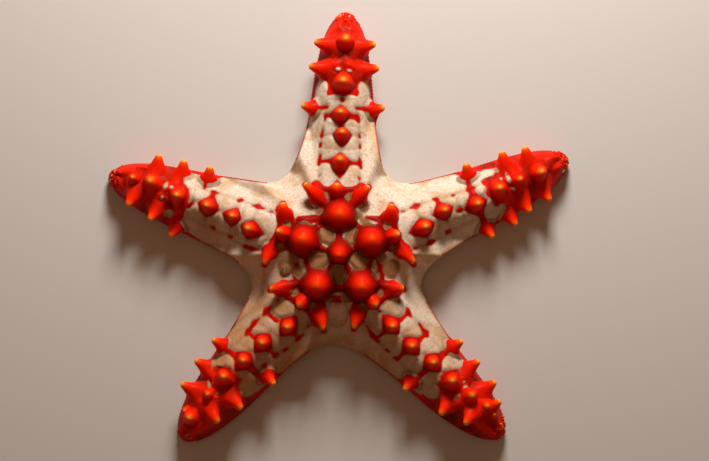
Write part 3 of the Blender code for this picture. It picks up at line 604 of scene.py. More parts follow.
# u of the grooves left and right of each arm's ridge, at those places
GROOVES = (
    ((8.0, 9.3, 8.6, 7.2, 6.8), (-8.0, -8.4, -8.1, -7.2, -6.6)),
    ((9.5, 11.2, 9.4, 8.0, 7.8), (-6.0, -6.7, -6.9, -6.6, -6.5)),
    ((10.0, 10.5, 8.6, 6.6, 6.0), (-6.2, -7.6, -8.1, -8.5, -8.2)),
    ((7.4, 7.8, 7.9, 8.0, 8.0), (-9.3, -10.3, -9.2, -8.2, -7.5)),
    ((6.3, 6.5, 5.6, 4.3, 4.5), (-10.0, -10.3, -9.0, -8.5, -8.2)),
)
# A width below zero makes a valley fainter
FAINT = -0.6
# How far a valley's ends lie along the arm from a knob's tip and from a gap
KNOB_VALLEY_BACK, GAP_VALLEY_ON = 1.0, 1.0


def valley_lines():
    """The valleys between plates: along both grooves, and from each knob and each gap
    between knobs across to them."""
    lines = []
    for number, arm in enumerate(ARMS):
        gaps = [(a[1] + b[0]) / 2 for a, b in zip(CORNERS[number], CORNERS[number][1:])]
        for offsets in GROOVES[number]:
            groove = [arm_point(arm, s, u) for s, u in zip(GROOVE_STATIONS, offsets)]
            lines += [(start, 0.0, end, 0.0) for start, end in zip(groove, groove[1:])]
            for s, u, _ in arm.knobs[1:4]:
                back = s - KNOB_VALLEY_BACK
                across = np.interp(back, GROOVE_STATIONS, offsets)
                lines.append((arm_point(arm, back, u), 0.0, arm_point(arm, back, across), 0.0))
            for s in gaps:
                on = s + GAP_VALLEY_ON
                across = np.interp(on, GROOVE_STATIONS, offsets)
                lines.append((arm_point(arm, s, 0.0), 0.0, arm_point(arm, on, across), FAINT))
    return table_of(lines)


VALLEY_LINES = valley_lines()
print("valleys:", len(VALLEY_LINES[0]))

# %% Ridges and lumps of the red ends
# The s from which side spines and knobs have ridges, and how near the two must be
RIDGES_START, KNOB_RIDGES_START, KNOB_RIDGE_REACH = 70, 80, 6
# Half widths at a ridge's foot, of a branch and at its top
RIDGE_FOOT, RIDGE_BRANCH, RIDGE_TOP = 2.4, 2.2, 1.2
# A ridge's foot from its spine's tip, back and inwards, and its top, on and in u
RIDGE_BACK, RIDGE_INSET, RIDGE_ON, RIDGE_CREST = 0.8, 3.0, 0.6, 3.0
# Distance from the arm's tip and u of the place where the last ridges meet
RIDGES_MEET = (4.5, 2.6)
LUMP_SEED, LUMPS_ON_END, LUMPS_START, LUMPS_STOP = 7, 110, 71.0, 2.5
LUMP_RADII, LUMP_HEIGHTS = (1.1, 2.4), (-0.6, 0.55)


def end_ridges():
    """Ridges of the red ends: inwards from each side spine, from each knob there to the
    spines beside it, and from the last spines on to the arm's tip."""
    lines = []
    for arm in ARMS:
        for s, u in arm.left + arm.right:
            if s < RIDGES_START:
                continue
            side = math.copysign(1, u)
            edge = arm_point(arm, s - RIDGE_BACK, u - RIDGE_INSET * side)
            crest = arm_point(arm, s + RIDGE_ON, RIDGE_CREST * side)
            lines.append((edge, RIDGE_FOOT, crest, RIDGE_TOP))
            if s in (arm.left[-1][0], arm.right[-1][0]):
                meeting = arm_point(arm, arm.reach - RIDGES_MEET[0], RIDGES_MEET[1] * side)
                lines.append((edge, RIDGE_BRANCH, meeting, RIDGE_TOP))
            for knob_s, knob_u, _ in arm.knobs:
                if knob_s > KNOB_RIDGES_START and abs(knob_s - s) < KNOB_RIDGE_REACH:
                    knob_tip = arm_point(arm, knob_s, knob_u)
                    lines.append((knob_tip, RIDGE_BRANCH, edge, RIDGE_BRANCH))
    return table_of(lines)


def end_lumps():
    """Seeded lumps and dents of the red ends: plan points, radii and heights."""
    random = np.random.default_rng(LUMP_SEED)
    places, radii, heights = [], [], []
    for arm in ARMS:
        s = random.uniform(LUMPS_START, arm.reach - LUMPS_STOP, LUMPS_ON_END)
        u = random.uniform(-1.0, 1.0, LUMPS_ON_END) * half_width(arm, s, 1)
        places.append(arm_point(arm, s, u))
        radii.append(random.uniform(*LUMP_RADII, LUMPS_ON_END))
        heights.append(random.uniform(*LUMP_HEIGHTS, LUMPS_ON_END))
    return np.concatenate(places), np.concatenate(radii), np.concatenate(heights)


END_RIDGES, END_LUMPS = end_ridges(), end_lumps()
print("ridges:", len(END_RIDGES[0]), "lumps:", len(END_LUMPS[0]))

# %% Measures of the relief
# Where disc and red ends fade, by distance and by s, and the red's soft edge
DISC_FADE, END_FADE, RED_EDGE = (27.0, 33.0), (67.0, 74.0), (-0.4, 0.8)
# Height of each form, and the distances inside it between which it rises
NET_RISE, NET_FLANK = 0.6, (-0.7, 0.7)
BODY_RISE, BODY_FLANK = 1.6, (0.3, 4.5)
PAD_RISE, PAD_FLANK = 0.4, (0.0, 1.8)
PLATE_RISE, PLATE_FLANK = 0.25, (0.0, 1.6)
LOBE_RISE, LOBE_FLANK = 0.5, (-0.2, 2.0)
RIDGE_RISE, RIDGE_FLANK, HOLLOW_DEPTH = 2.0, (-2.2, 1.4), 1.0
EDGE_GROOVE_DEPTH, EDGE_GROOVE_WIDTH = 0.25, 0.5
VALLEY_DEPTH, VALLEY_WIDTH = 0.22, 1.0
# Painted shade, darker where shade falls: of the red's rim on disc and arms and how far in it
# goes, of hollows with and without dents, of the seams round pads and plates, and of valleys in
# cream and red
DISC_RIM, ARM_RIM, RIM_EDGE, RIM_WIDTH, DISC_RIM_GAIN = 0.95, 0.6, 0.2, 1.2, 3.0
DENT_SCALE, HOLLOW_SHADE, DENT_SHADE, MOST_HOLLOW_SHADE = 1.2, 0.55, 0.5, 0.9
SEAM_SHADE, PLATE_SEAM, PAD_SEAM = 0.45, 0.4, 0.35
VALLEY_SHADE, RED_VALLEY_SHADE = 0.08, 0.6
# Tan: of valleys and plates, and the bands round the pads' edges; on valleys and pads the tan is
# painted shade, and so is the pads' brown band
VALLEY_SHADE_TAN, PLATE_TAN, PLATE_TAN_BAND = 0.5, 0.5, (0.0, 1.0)
PAD_SHADE_TAN_BAND, PAD_SHADE_BAND = (-0.3, 0.8), (-0.9, 0.0)
print("the highest swelling of the disc is", NET_RISE + BODY_RISE, "mm")

# %% Fields of the upper surface
# Points worked out at once, so that the tables of distances fit in memory
CHUNK = 6000


def bell(value, width):
    """exp of minus the square of value over width: 1 at 0, fading on both sides."""
    return np.exp(-((value / width) ** 2))


def place_masks(point):
    """Shares of disc and of red end, and of the valleys between them."""
    disc = 1.0 - smooth(distance_from(DISC_CENTRE, point), *DISC_FADE)
    end = np.zeros(len(point))
    for arm in ARMS:
        end = np.maximum(end, smooth(arm_coordinates(arm, point)[0], *END_FADE))
    nearest = np.minimum(line_marks(point, *VALLEY_LINES).max(axis=1), 0.0)
    return disc, end, bell(nearest, VALLEY_WIDTH) * (1.0 - disc) * (1.0 - end)


def end_relief(point):
    """Of the red ends: the share of ridge, and the sum of all lumps, each its height
    times a bell of the distance over its radius."""
    hill = smooth(line_marks(point, *END_RIDGES).max(axis=1), *RIDGE_FLANK)
    centres, radii, heights = END_LUMPS
    gap = np.sqrt(((point[:, None] - centres[None]) ** 2).sum(axis=2))
    return hill, (heights * bell(gap, radii)).sum(axis=1)


def fields_of(point):
    """The fields of surface_fields for one chunk of plan points."""
    red, pads, lobes = red_net(point)
    plates = disc_ovals(point, LOW_PLATES)
    disc, end, valley = place_masks(point)
    hill, lumps = end_relief(point)
    in_red = smooth(red, *RED_EDGE)

    height = smooth_top(point)
    height += disc * (NET_RISE * smooth(red, *NET_FLANK) + BODY_RISE * smooth(red, *BODY_FLANK))
    height += disc * PAD_RISE * smooth(pads, *PAD_FLANK)
    height += (1 - disc) * (
        PLATE_RISE * smooth(-red, *PLATE_FLANK) - EDGE_GROOVE_DEPTH * bell(red, EDGE_GROOVE_WIDTH))
    height += LOBE_RISE * smooth(lobes, *LOBE_FLANK) * (1.0 - in_red)
    height += end * in_red * (RIDGE_RISE * hill - HOLLOW_DEPTH + lumps)
    height -= VALLEY_DEPTH * valley

    # Painted shade: darker at the red's rim, in the hollows of the red ends, round pads and plates
    # and in the valleys
    rim = in_red * (disc * DISC_RIM + (1 - disc) * (1 - end) * ARM_RIM)
    rim = rim * smooth(-red, -RIM_WIDTH - DISC_RIM_GAIN * disc, RIM_EDGE)
    dents = np.clip(-DENT_SCALE * lumps, 0.0, 1.0)
    painted_hollow_shade = (1 - hill) * (HOLLOW_SHADE + DENT_SHADE * dents)
    painted_hollow_shade = end * in_red * np.clip(painted_hollow_shade, 0.0, MOST_HOLLOW_SHADE)
    painted_seam_shade = np.maximum(bell(plates, PLATE_SEAM), bell(pads, PAD_SEAM) * disc)
    painted_seam_shade = painted_seam_shade * (1 - in_red) * SEAM_SHADE
    shaded_valley = valley * (VALLEY_SHADE + RED_VALLEY_SHADE * in_red)
    dark = np.maximum.reduce([shaded_valley, rim, painted_hollow_shade, painted_seam_shade])
    # Tan in the valleys and on the disc's pads, and brown on the pads, are painted shade
    tan = np.maximum.reduce([
        VALLEY_SHADE_TAN * valley, disc * smooth(pads, *PAD_SHADE_TAN_BAND),
        PLATE_TAN * smooth(plates, *PLATE_TAN_BAND)])
    brown = disc * smooth(pads, *PAD_SHADE_BAND)
    return np.stack([red, dark, height, tan + brown, end], axis=1)


def surface_fields(point):
    """For plan points: the distance inside the red, painted shade of crevices from 0 to 1, the
    height of the upper surface, tan from 0 to 1, which in valleys and on the disc's pads is
    painted shade, and on to 2 for painted shade of brown on the disc's pads, and the share of red
    arm end."""
    flat = np.asarray(point, float).reshape(-1, 2)
    results = [fields_of(flat[start:start + CHUNK]) for start in range(0, len(flat), CHUNK)]
    return np.concatenate(results).reshape(*np.asarray(point).shape[:-1], -1)


def skin_height(point):
    """The height of the upper surface with its relief."""
    return surface_fields(point)[..., 2]


print("height with relief at the disc's middle:",
      round(float(skin_height(DISC_CENTRE[None])[0]), 2), "mm")

# %% [markdown]
# ## Making a mesh
# Every surface here is a grid of points, worked out as whole arrays, which is faster
# than adding vertices one by one. The helper welds points that fall together, so a row
# that shrinks to a point becomes a closed pole, and neighbouring grids become one.

# %% Grid to mesh
# Points that agree when rounded to 1 / KEYS_PER_MM are one
KEYS_PER_MM = 1e4


def grid_quads(points):
    """The quads of a grid of points with shape rows, columns, 3, or of many grids."""
    return np.stack([
        points[..., :-1, :-1, :], points[..., :-1, 1:, :],
        points[..., 1:, 1:, :], points[..., 1:, :-1, :]], axis=-2).reshape(-1, 4, 3)


def weld(quads):
    """Unique points, faces as rows of four numbers that may repeat a corner, and the
    first corner at each point."""
    corners = quads.reshape(-1, 3)
    keys = np.round(corners * KEYS_PER_MM).astype(np.int64)
    _, first, number = np.unique(keys, axis=0, return_index=True, return_inverse=True)
    return corners[first], number.reshape(-1, 4), first


def make_mesh(name, points, faces, fields=None):
    """A shaded mesh object from points in millimetres and faces of four numbers, where
    a repeated corner makes a triangle and two of them no face. Fields are named values,
    one for each point, kept as attributes."""
    following = np.roll(faces, -1, axis=1)
    same = faces == following
    whole = faces[~same.any(axis=1)]
    polygons = whole.tolist()
    for corner in range(4):
        kept = [i for i in range(4) if i != corner]
        bent = faces[same[:, corner] & (same.sum(axis=1) == 1)]
        polygons += bent[:, kept].tolist()
    mesh = bpy.data.meshes.new(name)
    mesh.from_pydata((points * MM).tolist(), [], polygons)
    for label, values in (fields or {}).items():
        layer = mesh.attributes.new(label, "FLOAT", "POINT")
        layer.data.foreach_set("value", np.asarray(values, np.float32))
    shape = bmesh.new()
    shape.from_mesh(mesh)
    bmesh.ops.recalc_face_normals(shape, faces=shape.faces)
    shape.to_mesh(mesh)
    shape.free()
    mesh.shade_smooth()
    made = bpy.data.objects.new(name, mesh)
    bpy.context.scene.collection.objects.link(made)
    print(name, "has", sum(len(face.vertices) - 2 for face in mesh.polygons), "triangles")
    return made


print("quads of a grid of 3 by 4 points:", len(grid_quads(np.zeros((3, 4, 3)))))

# %% [markdown]
# ## The skin
# One closed surface: the top, the rounded edge and the mouth side with its furrows. It
# could be five arms joined by a modifier, but grids that share their borders weld into
# a skin without a seam. For each arm a grid of rows runs from the middle of the disc to
# the tip. The rows' ends go round the edge, set in square to the outline, and on across
# the flat mouth side, where the middle columns drop into the furrow.

# %% Rows of one arm
COLUMNS, INNER_ROWS = 74, 50
# How far an S-curve crowds the columns towards a row's ends
CROWDING = 0.25
# Rows lie one step apart, then wider apart past STEP_CHANGE, then crowd at the tip
ROW_STEP, STEP_CHANGE, END_ROW_STEP = 0.5, 78.0, 0.8
CROWDED_END, CROWDED_ROWS = 6.0, 15
# Over what length the two notches' difference fades, and how far from the tip the
# point lies towards which the edge turns in there
START_FADE, TIP_CENTRE = 10.0, 5.0
# Inset and share of the rim's height of each step round the edge
EDGE_STEPS = ((0.12, 0.84), (0.35, 0.6), (0.75, 0.4), (1.4, 0.2), (2.2, 0.06), (3.0, 0.0))


def column_shares(count):
    """Places from 0 to 1 across a row, a little closer together near its ends."""
    even = np.linspace(-1.0, 1.0, count)
    curved = (1 - CROWDING) * even + CROWDING * np.sin(even * math.pi / 2)
    return (curved + 1.0) / 2.0


def arm_rows(arm):
    """The s of each row past the notches on the right and left: both start at their
    own notch, and the difference fades as the square of what is left of 10 mm."""
    starts = [float(arm_coordinates(arm, notch_point(arm, side))[0]) for side in (-1, 1)]
    first = sum(starts) / 2
    common = np.concatenate([
        np.arange(first, STEP_CHANGE, ROW_STEP),
        np.arange(STEP_CHANGE, arm.reach - CROWDED_END, END_ROW_STEP),
        arm.reach - CROWDED_END * np.linspace(1.0, 0.0, CROWDED_ROWS) ** 2])
    fade = np.clip(1.0 - (common - first) / START_FADE, 0.0, 1.0) ** 2
    return [common + (start - first) * fade for start in starts]


def outline_rows(arm):
    """For the right and the left: the outline's points, and unit vectors inwards."""
    sides = []
    for side, s in zip((-1, 1), arm_rows(arm)):
        line = arm_point(arm, s, side * half_width(arm, s, side))
        tangent = np.gradient(line, axis=0)
        inward = side * np.stack([tangent[:, 1], -tangent[:, 0]], axis=1)
        inward[0] = DISC_CENTRE - line[0]
        inward[-1] = arm_point(arm, arm.reach - TIP_CENTRE, 0.0) - line[-1]
        sides.append((line, inward / np.linalg.norm(inward, axis=1)[:, None]))
    return sides


def top_grid(arm):
    """Plan points of the upper surface, rows from the middle out to the tip."""
    share = column_shares(COLUMNS)[None, :]
    part = np.linspace(0.0, 1.0, INNER_ROWS)[:, None, None]
    right, left = notch_point(arm, -1), notch_point(arm, 1)
    chord = right + (left - right) * share[..., None]
    inner = DISC_CENTRE + (chord - DISC_CENTRE) * part
    right_s, left_s = (s[:, None] for s in arm_rows(arm))
    s = right_s + (left_s - right_s) * share
    right_u, left_u = half_width(arm, right_s, -1), half_width(arm, left_s, 1)
    outer = arm_point(arm, s, -right_u + (left_u + right_u) * share)
    return np.concatenate([inner[:-1], outer])


print("rows and columns of the first arm's top:", top_grid(ARMS[0]).shape[:2])

# %% The mouth side of one arm
UNDERSIDE = 0.35
MOUTH_RADIUS, MOUTH_ROOF = 8.3, 3.3
# Share of the mouth's radius and height of each ring of its roof
ROOF_RINGS = ((0.0, 4.4), (0.35, 4.2), (0.7, MOUTH_ROOF), (0.94, MOUTH_ROOF))
# Rows between the mouth and the first row outside it, and the most u on the mouth's edge
RING_ROWS, FLOW_LIMIT = 24, 5.0
# How far from the tip a furrow ends, and over what length it gets shallow
FURROW_END, SHALLOWING = 6.5, 4.0
# How far from the tip a furrow's width is nil, over what length it grows, and the power
NARROW_END, NARROWING, NARROW_POWER = 3.0, 9.0, 0.6
# Columns across the furrow, as u and depth, from the right margin to the middle
FURROW_SHAPE = ((-4.0, 0.0), (-3.5, 0.08), (-3.15, 0.6), (-2.9, 2.0), (-2.55, 3.6),
                (-1.9, 4.6), (-0.9, 5.0), (0.0, 4.75))
FLANK_COLUMNS = 6


def furrow_narrowing(arm, s):
    """1 along the arm, falling to 0 near its tip as a power of what is left."""
    return np.clip((arm.reach - NARROW_END - s) / NARROWING, 0.0, 1.0) ** NARROW_POWER


def furrow_columns(s, arm):
    """u and height of the furrow's columns at each s: the table, narrower where the
    arm is narrow, and shallower towards its end."""
    table = np.array(FURROW_SHAPE + tuple((-u, z) for u, z in FURROW_SHAPE[-2::-1]))
    left = np.maximum(arm.reach - FURROW_END - s, 0.0)
    depth = table[:, 1] * smooth(left, 0.0, SHALLOWING)[:, None]
    return table[:, 0] * furrow_narrowing(arm, s)[:, None], np.maximum(depth, UNDERSIDE)


def across(start, end, count):
    """Points on straight lines from each start to each end, without the last one."""
    share = (np.arange(count) / count)[None, :, None]
    return start[:, None] + (end - start)[:, None] * share


def mouth_ring(arm, first):
    """Points of the mouth's edge, one for each point of the first row outside it. Those
    of the furrow keep their u. The others are spaced evenly from there to the border of
    the arm's sector, and each is moved out to the mouth's radius."""
    flow = np.clip(arm_coordinates(arm, first[:, :2])[1], -FLOW_LIMIT, FLOW_LIMIT)
    ring = arm_point(arm, np.sqrt(MOUTH_RADIUS**2 - flow**2), flow)
    share = (np.arange(FLANK_COLUMNS) / FLANK_COLUMNS)[:, None]
    inside = ring[[FLANK_COLUMNS, -FLANK_COLUMNS - 1]]
    for columns, border, edge in ((slice(0, FLANK_COLUMNS), first[0], inside[0]),
                                  (slice(-1, -FLANK_COLUMNS - 1, -1), first[-1], inside[1])):
        outward = border[:2] - DISC_CENTRE
        border = DISC_CENTRE + outward * MOUTH_RADIUS / np.linalg.norm(outward)
        chord = border + (edge - border) * share - DISC_CENTRE
        length = np.linalg.norm(chord, axis=1)[:, None]
        ring[columns] = DISC_CENTRE + chord * MOUTH_RADIUS / length
    return ring


def mouth_side_grid(arm, right, left):
    """Points of the mouth side, from the roof of the mouth out to the tip."""
    middle_s = (arm_coordinates(arm, right)[0] + arm_coordinates(arm, left)[0]) / 2
    u, z = furrow_columns(middle_s, arm)
    furrow = np.concatenate([arm_point(arm, middle_s[:, None], u), z[..., None]], axis=2)
    borders = [
        np.pad(side, ((0, 0), (0, 1)), constant_values=UNDERSIDE) for side in (right, left)]
    outer = np.concatenate([
        across(borders[0], furrow[:, 0], FLANK_COLUMNS), furrow,
        across(borders[1], furrow[:, -1], FLANK_COLUMNS)[:, ::-1]], axis=1)
    first = outer[0]
    ring = mouth_ring(arm, first)
    inner = [
        np.concatenate([ring + (first[:, :2] - ring) * part, first[:, 2:]], axis=1)
        for part in np.linspace(0.0, 1.0, RING_ROWS)[:-1]]
    roof = []
    for share, height in ROOF_RINGS:
        place = DISC_CENTRE + (ring - DISC_CENTRE) * share
        tall = np.maximum(first[:, 2:], height)
        roof.append(np.concatenate([place, tall if share else np.full_like(tall, height)], axis=1))
    return np.concatenate([np.stack(roof), np.stack(inner), outer])


print("columns of the mouth side:", 2 * FLANK_COLUMNS + 2 * len(FURROW_SHAPE) - 1)

# %% Weld the five arms into one skin
# Heights between which the edge turns into the mouth side, and how far under the top
# surface the roof of a furrow or of the mouth lies
BELOW_BAND, ROOF_BAND = (0.3, 2.2), (5.0, 7.0)
# What the mouth side loses in distance inside the red, and its share of tan
RED_LOST_BELOW, TAN_BELOW = 6.0, 0.6


def lifted(plan):
    """Plan points with the height of the surface over them."""
    return np.concatenate([plan, skin_height(plan)[..., None]], axis=-1)


def skin_parts():
    """The quads of the top, the edges and the mouth side of every arm."""
    parts = []
    for arm in ARMS:
        top = lifted(top_grid(arm))
        parts.append(grid_quads(top))
        bottoms = []
        for column, (line, inward) in zip((0, -1), outline_rows(arm)):
            rim = top[INNER_ROWS - 1:, column]
            high = rim[:, 2:]
            wall = [rim]
            for inset, share in EDGE_STEPS:
                low = np.maximum(high * share, UNDERSIDE)
                wall.append(np.concatenate([line + inward * inset, low], axis=1))
            parts.append(grid_quads(np.stack(wall, axis=1)))
            bottoms.append(wall[-1][:, :2])
        parts.append(grid_quads(mouth_side_grid(arm, *bottoms)))
    return parts


quads = np.concatenate(skin_parts())
skin_points, skin_faces, _ = weld(quads)
fields = surface_fields(skin_points[:, :2])
below = 1.0 - smooth(skin_points[:, 2], *BELOW_BAND)
below = np.maximum(below, smooth(fields[:, 2] - skin_points[:, 2], *ROOF_BAND))
# dark is the painted shade of crevices, with none on the mouth side
skin_fields = {
    "red": fields[:, 0] - RED_LOST_BELOW * below, "dark": fields[:, 1] * (1 - below),
    "tan": np.maximum(fields[:, 3], TAN_BELOW * below), "tip": np.zeros(len(skin_points)),
    "end": fields[:, 4]}
skin = make_mesh("skin", skin_points, skin_faces, skin_fields)

# %% [markdown]
# ## Knobs and spines
# On the animal these are blunt bosses of lime under the same red skin. They could be
# pulled out of the skin's mesh, but a closed patch for each keeps its rings round and
# fine. The outer rings lie on the skin round the root, and the inner ones turn square
# to the axis and shrink to a round tip. The profile leaves the skin at a tangent, so
# that knob and skin read as one surface, and the outermost rings dip under the skin.

# %% Profiles of the growths
# A lowest ring dips by this share of the height
DIP = 0.03
DOME_RADII = np.array((0.0, 0.07, 0.14, 0.22, 0.3, 0.38, 0.46, 0.54, 0.62, 0.7, 0.78, 0.86,
                       0.93, 1.0))


def dome_rings(roundness, power):
    """A dome: height (1 - radius ** roundness) ** power at each share of the foot's
    radius, stretched a little so that it ends under the skin."""
    height = (1 - DOME_RADII**roundness) ** power * (1 + DIP) - DIP
    return np.stack([DOME_RADII, height], axis=1)


# Blunt cones with a wide foot: shares of the foot's radius and of the height
SIDE_RINGS = np.array(((0.0, 1.0), (0.08, 0.993), (0.14, 0.965), (0.185, 0.92), (0.22, 0.86),
                       (0.255, 0.78), (0.29, 0.69), (0.325, 0.6), (0.37, 0.5), (0.425, 0.4),
                       (0.5, 0.3), (0.585, 0.205), (0.68, 0.125), (0.785, 0.06), (0.9, 0.01),
                       (1.0, -0.03)))
FLANK_RINGS = np.array(((0.0, 1.0), (0.09, 0.993), (0.165, 0.97), (0.22, 0.93), (0.265, 0.87),
                        (0.315, 0.78), (0.365, 0.69), (0.415, 0.6), (0.465, 0.51), (0.52, 0.42),
                        (0.58, 0.33), (0.645, 0.24), (0.715, 0.155), (0.8, 0.08), (0.9, 0.025),
                        (1.0, -0.03)))
SUNK_RINGS = np.array(((1.05, -0.1), (1.0, -0.5)))
HILL, DOME = dome_rings(1.7, 1.75), dome_rings(2.2, 1.2)
print("rings of a dome:", len(DOME), "of a side spine:", len(SIDE_RINGS))

# %% A growth laid on the skin
SPOKES, LAYING_STEPS = 32, 11
# Between these shares of the radius a ring turns from round to the patch's own figure,
# and a round ring has this share of its mean size
ROUNDING_BAND, ROUND_SIZE = (0.4, 1.0), 0.92
# Shares of the height between which the rings turn from the skin to the axis
TURNING_BAND = (0.05, 0.7)
# How far up and down the skin is looked for, in mean sizes, the step to each side that
# gives a slope, how deep a share of -1 lies, and the least height, all three in mm
LAYING_REACH, NORMAL_STEP, SINK, LOWEST = 1.3, 0.5, 3.0, 0.8


def top_normal(point):
    """The unit normal of the plain upper surface at one plan point."""
    slopes = [
        float(smooth_top(point + shift) - smooth_top(point - shift)) / (2 * NORMAL_STEP)
        for shift in NORMAL_STEP * np.eye(2)]
    normal = np.array([-slopes[0], -slopes[1], 1.0])
    return normal / np.linalg.norm(normal)


def cross_axes(direction, ahead):
    """Two unit vectors square to a direction, the first as close to ahead as can be."""
    first = ahead - direction * (ahead @ direction)
    first /= np.linalg.norm(first)
    return first, np.cross(direction, first)


def laid_on_skin(flat, normal, reach):
    """Points moved along the normal onto the skin. Halving finds the plain surface,
    where a point that is too high goes down, and one step adds the relief."""
    low = np.full(flat.shape[:-1], -reach)
    high = -low
    for _ in range(LAYING_STEPS):
        middle = (low + high) / 2
        place = flat + middle[..., None] * normal
        above = place[..., 2] > smooth_top(place[..., :2])
        high = np.where(above, middle, high)
        low = np.where(above, low, middle)
    place = flat + low[..., None] * normal
    relief = skin_height(place[..., :2]) - smooth_top(place[..., :2])
    return place + (relief * normal[2])[..., None] * normal


def growth_patch(root, tip, rings, ahead, inner, outer, wide, power):
    """Rings of a superellipse with half lengths inner and outer and half width wide.
    The lowest lie on the skin, the higher ones turn square to the axis, and each moves
    towards the tip by its share of the height. Gives points, plan bases and shares."""
    normal = top_normal(root[:2])
    axis = (tip - root) / np.linalg.norm(tip - root)
    turns = np.linspace(0.0, 2 * math.pi, SPOKES + 1)
    cosine, sine = np.cos(turns), np.sin(turns)
    long = np.where(cosine > 0, outer, inner)
    figure = (np.abs(cosine / long) ** power + np.abs(sine / wide) ** power) ** (-1 / power)
    table = np.concatenate([rings, SUNK_RINGS])
    share, rise = table[:, 0, None], table[:, 1, None]
    foot = (inner + outer + 2 * wide) / 4
    angular = smooth(share, *ROUNDING_BAND)
    radius = (share * (figure * angular + ROUND_SIZE * foot * (1 - angular)))[..., None]
    spokes = [
        cosine[:, None] * first + sine[:, None] * second
        for first, second in (cross_axes(normal, ahead), cross_axes(axis, ahead))]
    base = laid_on_skin(root + radius * spokes[0], normal, LAYING_REACH * foot)
    square = smooth(rise, *TURNING_BAND)[..., None]
    points = (base - root) * (1 - square) + radius * spokes[1] * square + root
    points = points + np.maximum(rise, 0.0)[..., None] * (tip - root)
    points = points + SINK * np.minimum(rise, 0.0)[..., None] * normal
    closing = np.broadcast_to(root - 0.5 * SINK * normal, points[:1].shape)
    points = np.concatenate([points, closing])
    points[..., 2] = np.maximum(points[..., 2], LOWEST)
    base = np.concatenate([base, closing])[..., :2]
    share = np.append(np.clip(table[:, 1], 0.0, 1.0), 0.0)[:, None].repeat(SPOKES + 1, axis=1)
    return points, base, share


print("the skin's normal at the disc's middle:", np.round(top_normal(DISC_CENTRE), 3))

# %% Join the growths
# How far a foot on cream sinks, the red distances where that ends, and the shares of
# the height where the foot ends
CREAM_SINK, CREAM_BAND, FOOT_BAND = 0.8, (0.0, 0.9), (0.05, 0.3)
# Shares of the height between which a growth turns red and the skin's painted shade fades
REDDENING_BAND, DARKNESS_BAND = (0.1, 0.35), (0.0, 0.5)
# What a growth's top adds to the red distance, where its foot starts, and how much lighter the
# painted shade is in the red ends
REDDENING, CREAM_AT_FOOT, END_LIGHTENING = 6.0, 3.0, 0.75


def joined_growths(name, patches, glow, shade, lit_above):
    """One mesh of many patches, with the pattern's fields read at their bases. A foot that lies on
    cream sinks under the skin. The tip field is the share of the height times glow, and it gives
    the orange tips and the painted highlight on them. The foot gets painted shade as strong as
    shade, fading up to the share lit_above."""
    quads = np.concatenate([grid_quads(points) for points, _, _ in patches])
    flat = ((0, 0), (0, 0), (0, 1))
    bases = np.concatenate([grid_quads(np.pad(base, flat)) for _, base, _ in patches])
    tips = np.concatenate([grid_quads(tip[..., None].repeat(3, axis=2)) for _, _, tip in patches])
    points, faces, first = weld(quads)
    fields = surface_fields(bases.reshape(-1, 3)[first, :2])
    tip = tips.reshape(-1, 3)[first, 0]
    on_cream = 1 - smooth(fields[:, 0], *CREAM_BAND)
    sunk = points[:, 2] - CREAM_SINK * on_cream * (1 - smooth(tip, *FOOT_BAND))
    points[:, 2] = np.maximum(sunk, LOWEST)
    shaded = shade * (1 - END_LIGHTENING * fields[:, 4]) * (1 - smooth(tip, 0.0, lit_above))
    return make_mesh(name, points, faces, {
        "red": np.maximum(fields[:, 0], REDDENING * smooth(tip, *REDDENING_BAND) - CREAM_AT_FOOT),
        "dark": np.maximum(fields[:, 1] * (1 - smooth(tip, *DARKNESS_BAND)), shaded),
        "tan": fields[:, 3], "tip": tip * glow, "end": fields[:, 4]})


print("a growth is red from", REDDENING_BAND[1], "of its height")

# %% Place the growths
KNOB_RISE, KNOB_RISE_PER_FOOT, DISC_KNOB_LEAN = 2.2, 0.72, 2.0
SIDE_SPINE_FOOT, SIDE_SPINE_RISE, SIDE_SPINE_BACK, SIDE_SPINE_RUN = 7.4, 4.2, 1.0, 6.2
FLANK_FOOT, FLANK_RISE, PRIMARY_FOOT = 5.8, 2.5, 1.42
# Half lengths and half width of an arm's knob, as shares of its diamond's
KNOB_INNER, KNOB_OUTER, KNOB_BREADTH = 0.82, 0.92, 0.96
# Powers of the outline: 2 is an ellipse, less comes near a diamond
ROUND, DOME_POWER = 2.0, 1.7


def knob(base, tip, foot, heading, inner, outer, wide, power, rings):
    """A domed knob from a plan point to a tip whose height comes from its foot."""
    top = float(smooth_top(base)) + KNOB_RISE + KNOB_RISE_PER_FOOT * foot
    root = np.append(base, skin_height(base[None])[0])
    ahead = np.append(heading_axes(heading)[0], 0.0)
    return growth_patch(root, np.append(tip, top), rings, ahead, inner, outer, wide, power)


def spine(base, tip, rise, foot, rings):
    """A blunt round spine from a plan point to a tip that is rise above its root."""
    root = np.append(base, skin_height(base[None])[0])
    sideways = np.array([base[1] - tip[1], tip[0] - base[0], 0.0])
    top = float(smooth_top(base)) + rise
    return growth_patch(root, np.append(tip, top), rings, sideways, foot, foot, foot, ROUND)


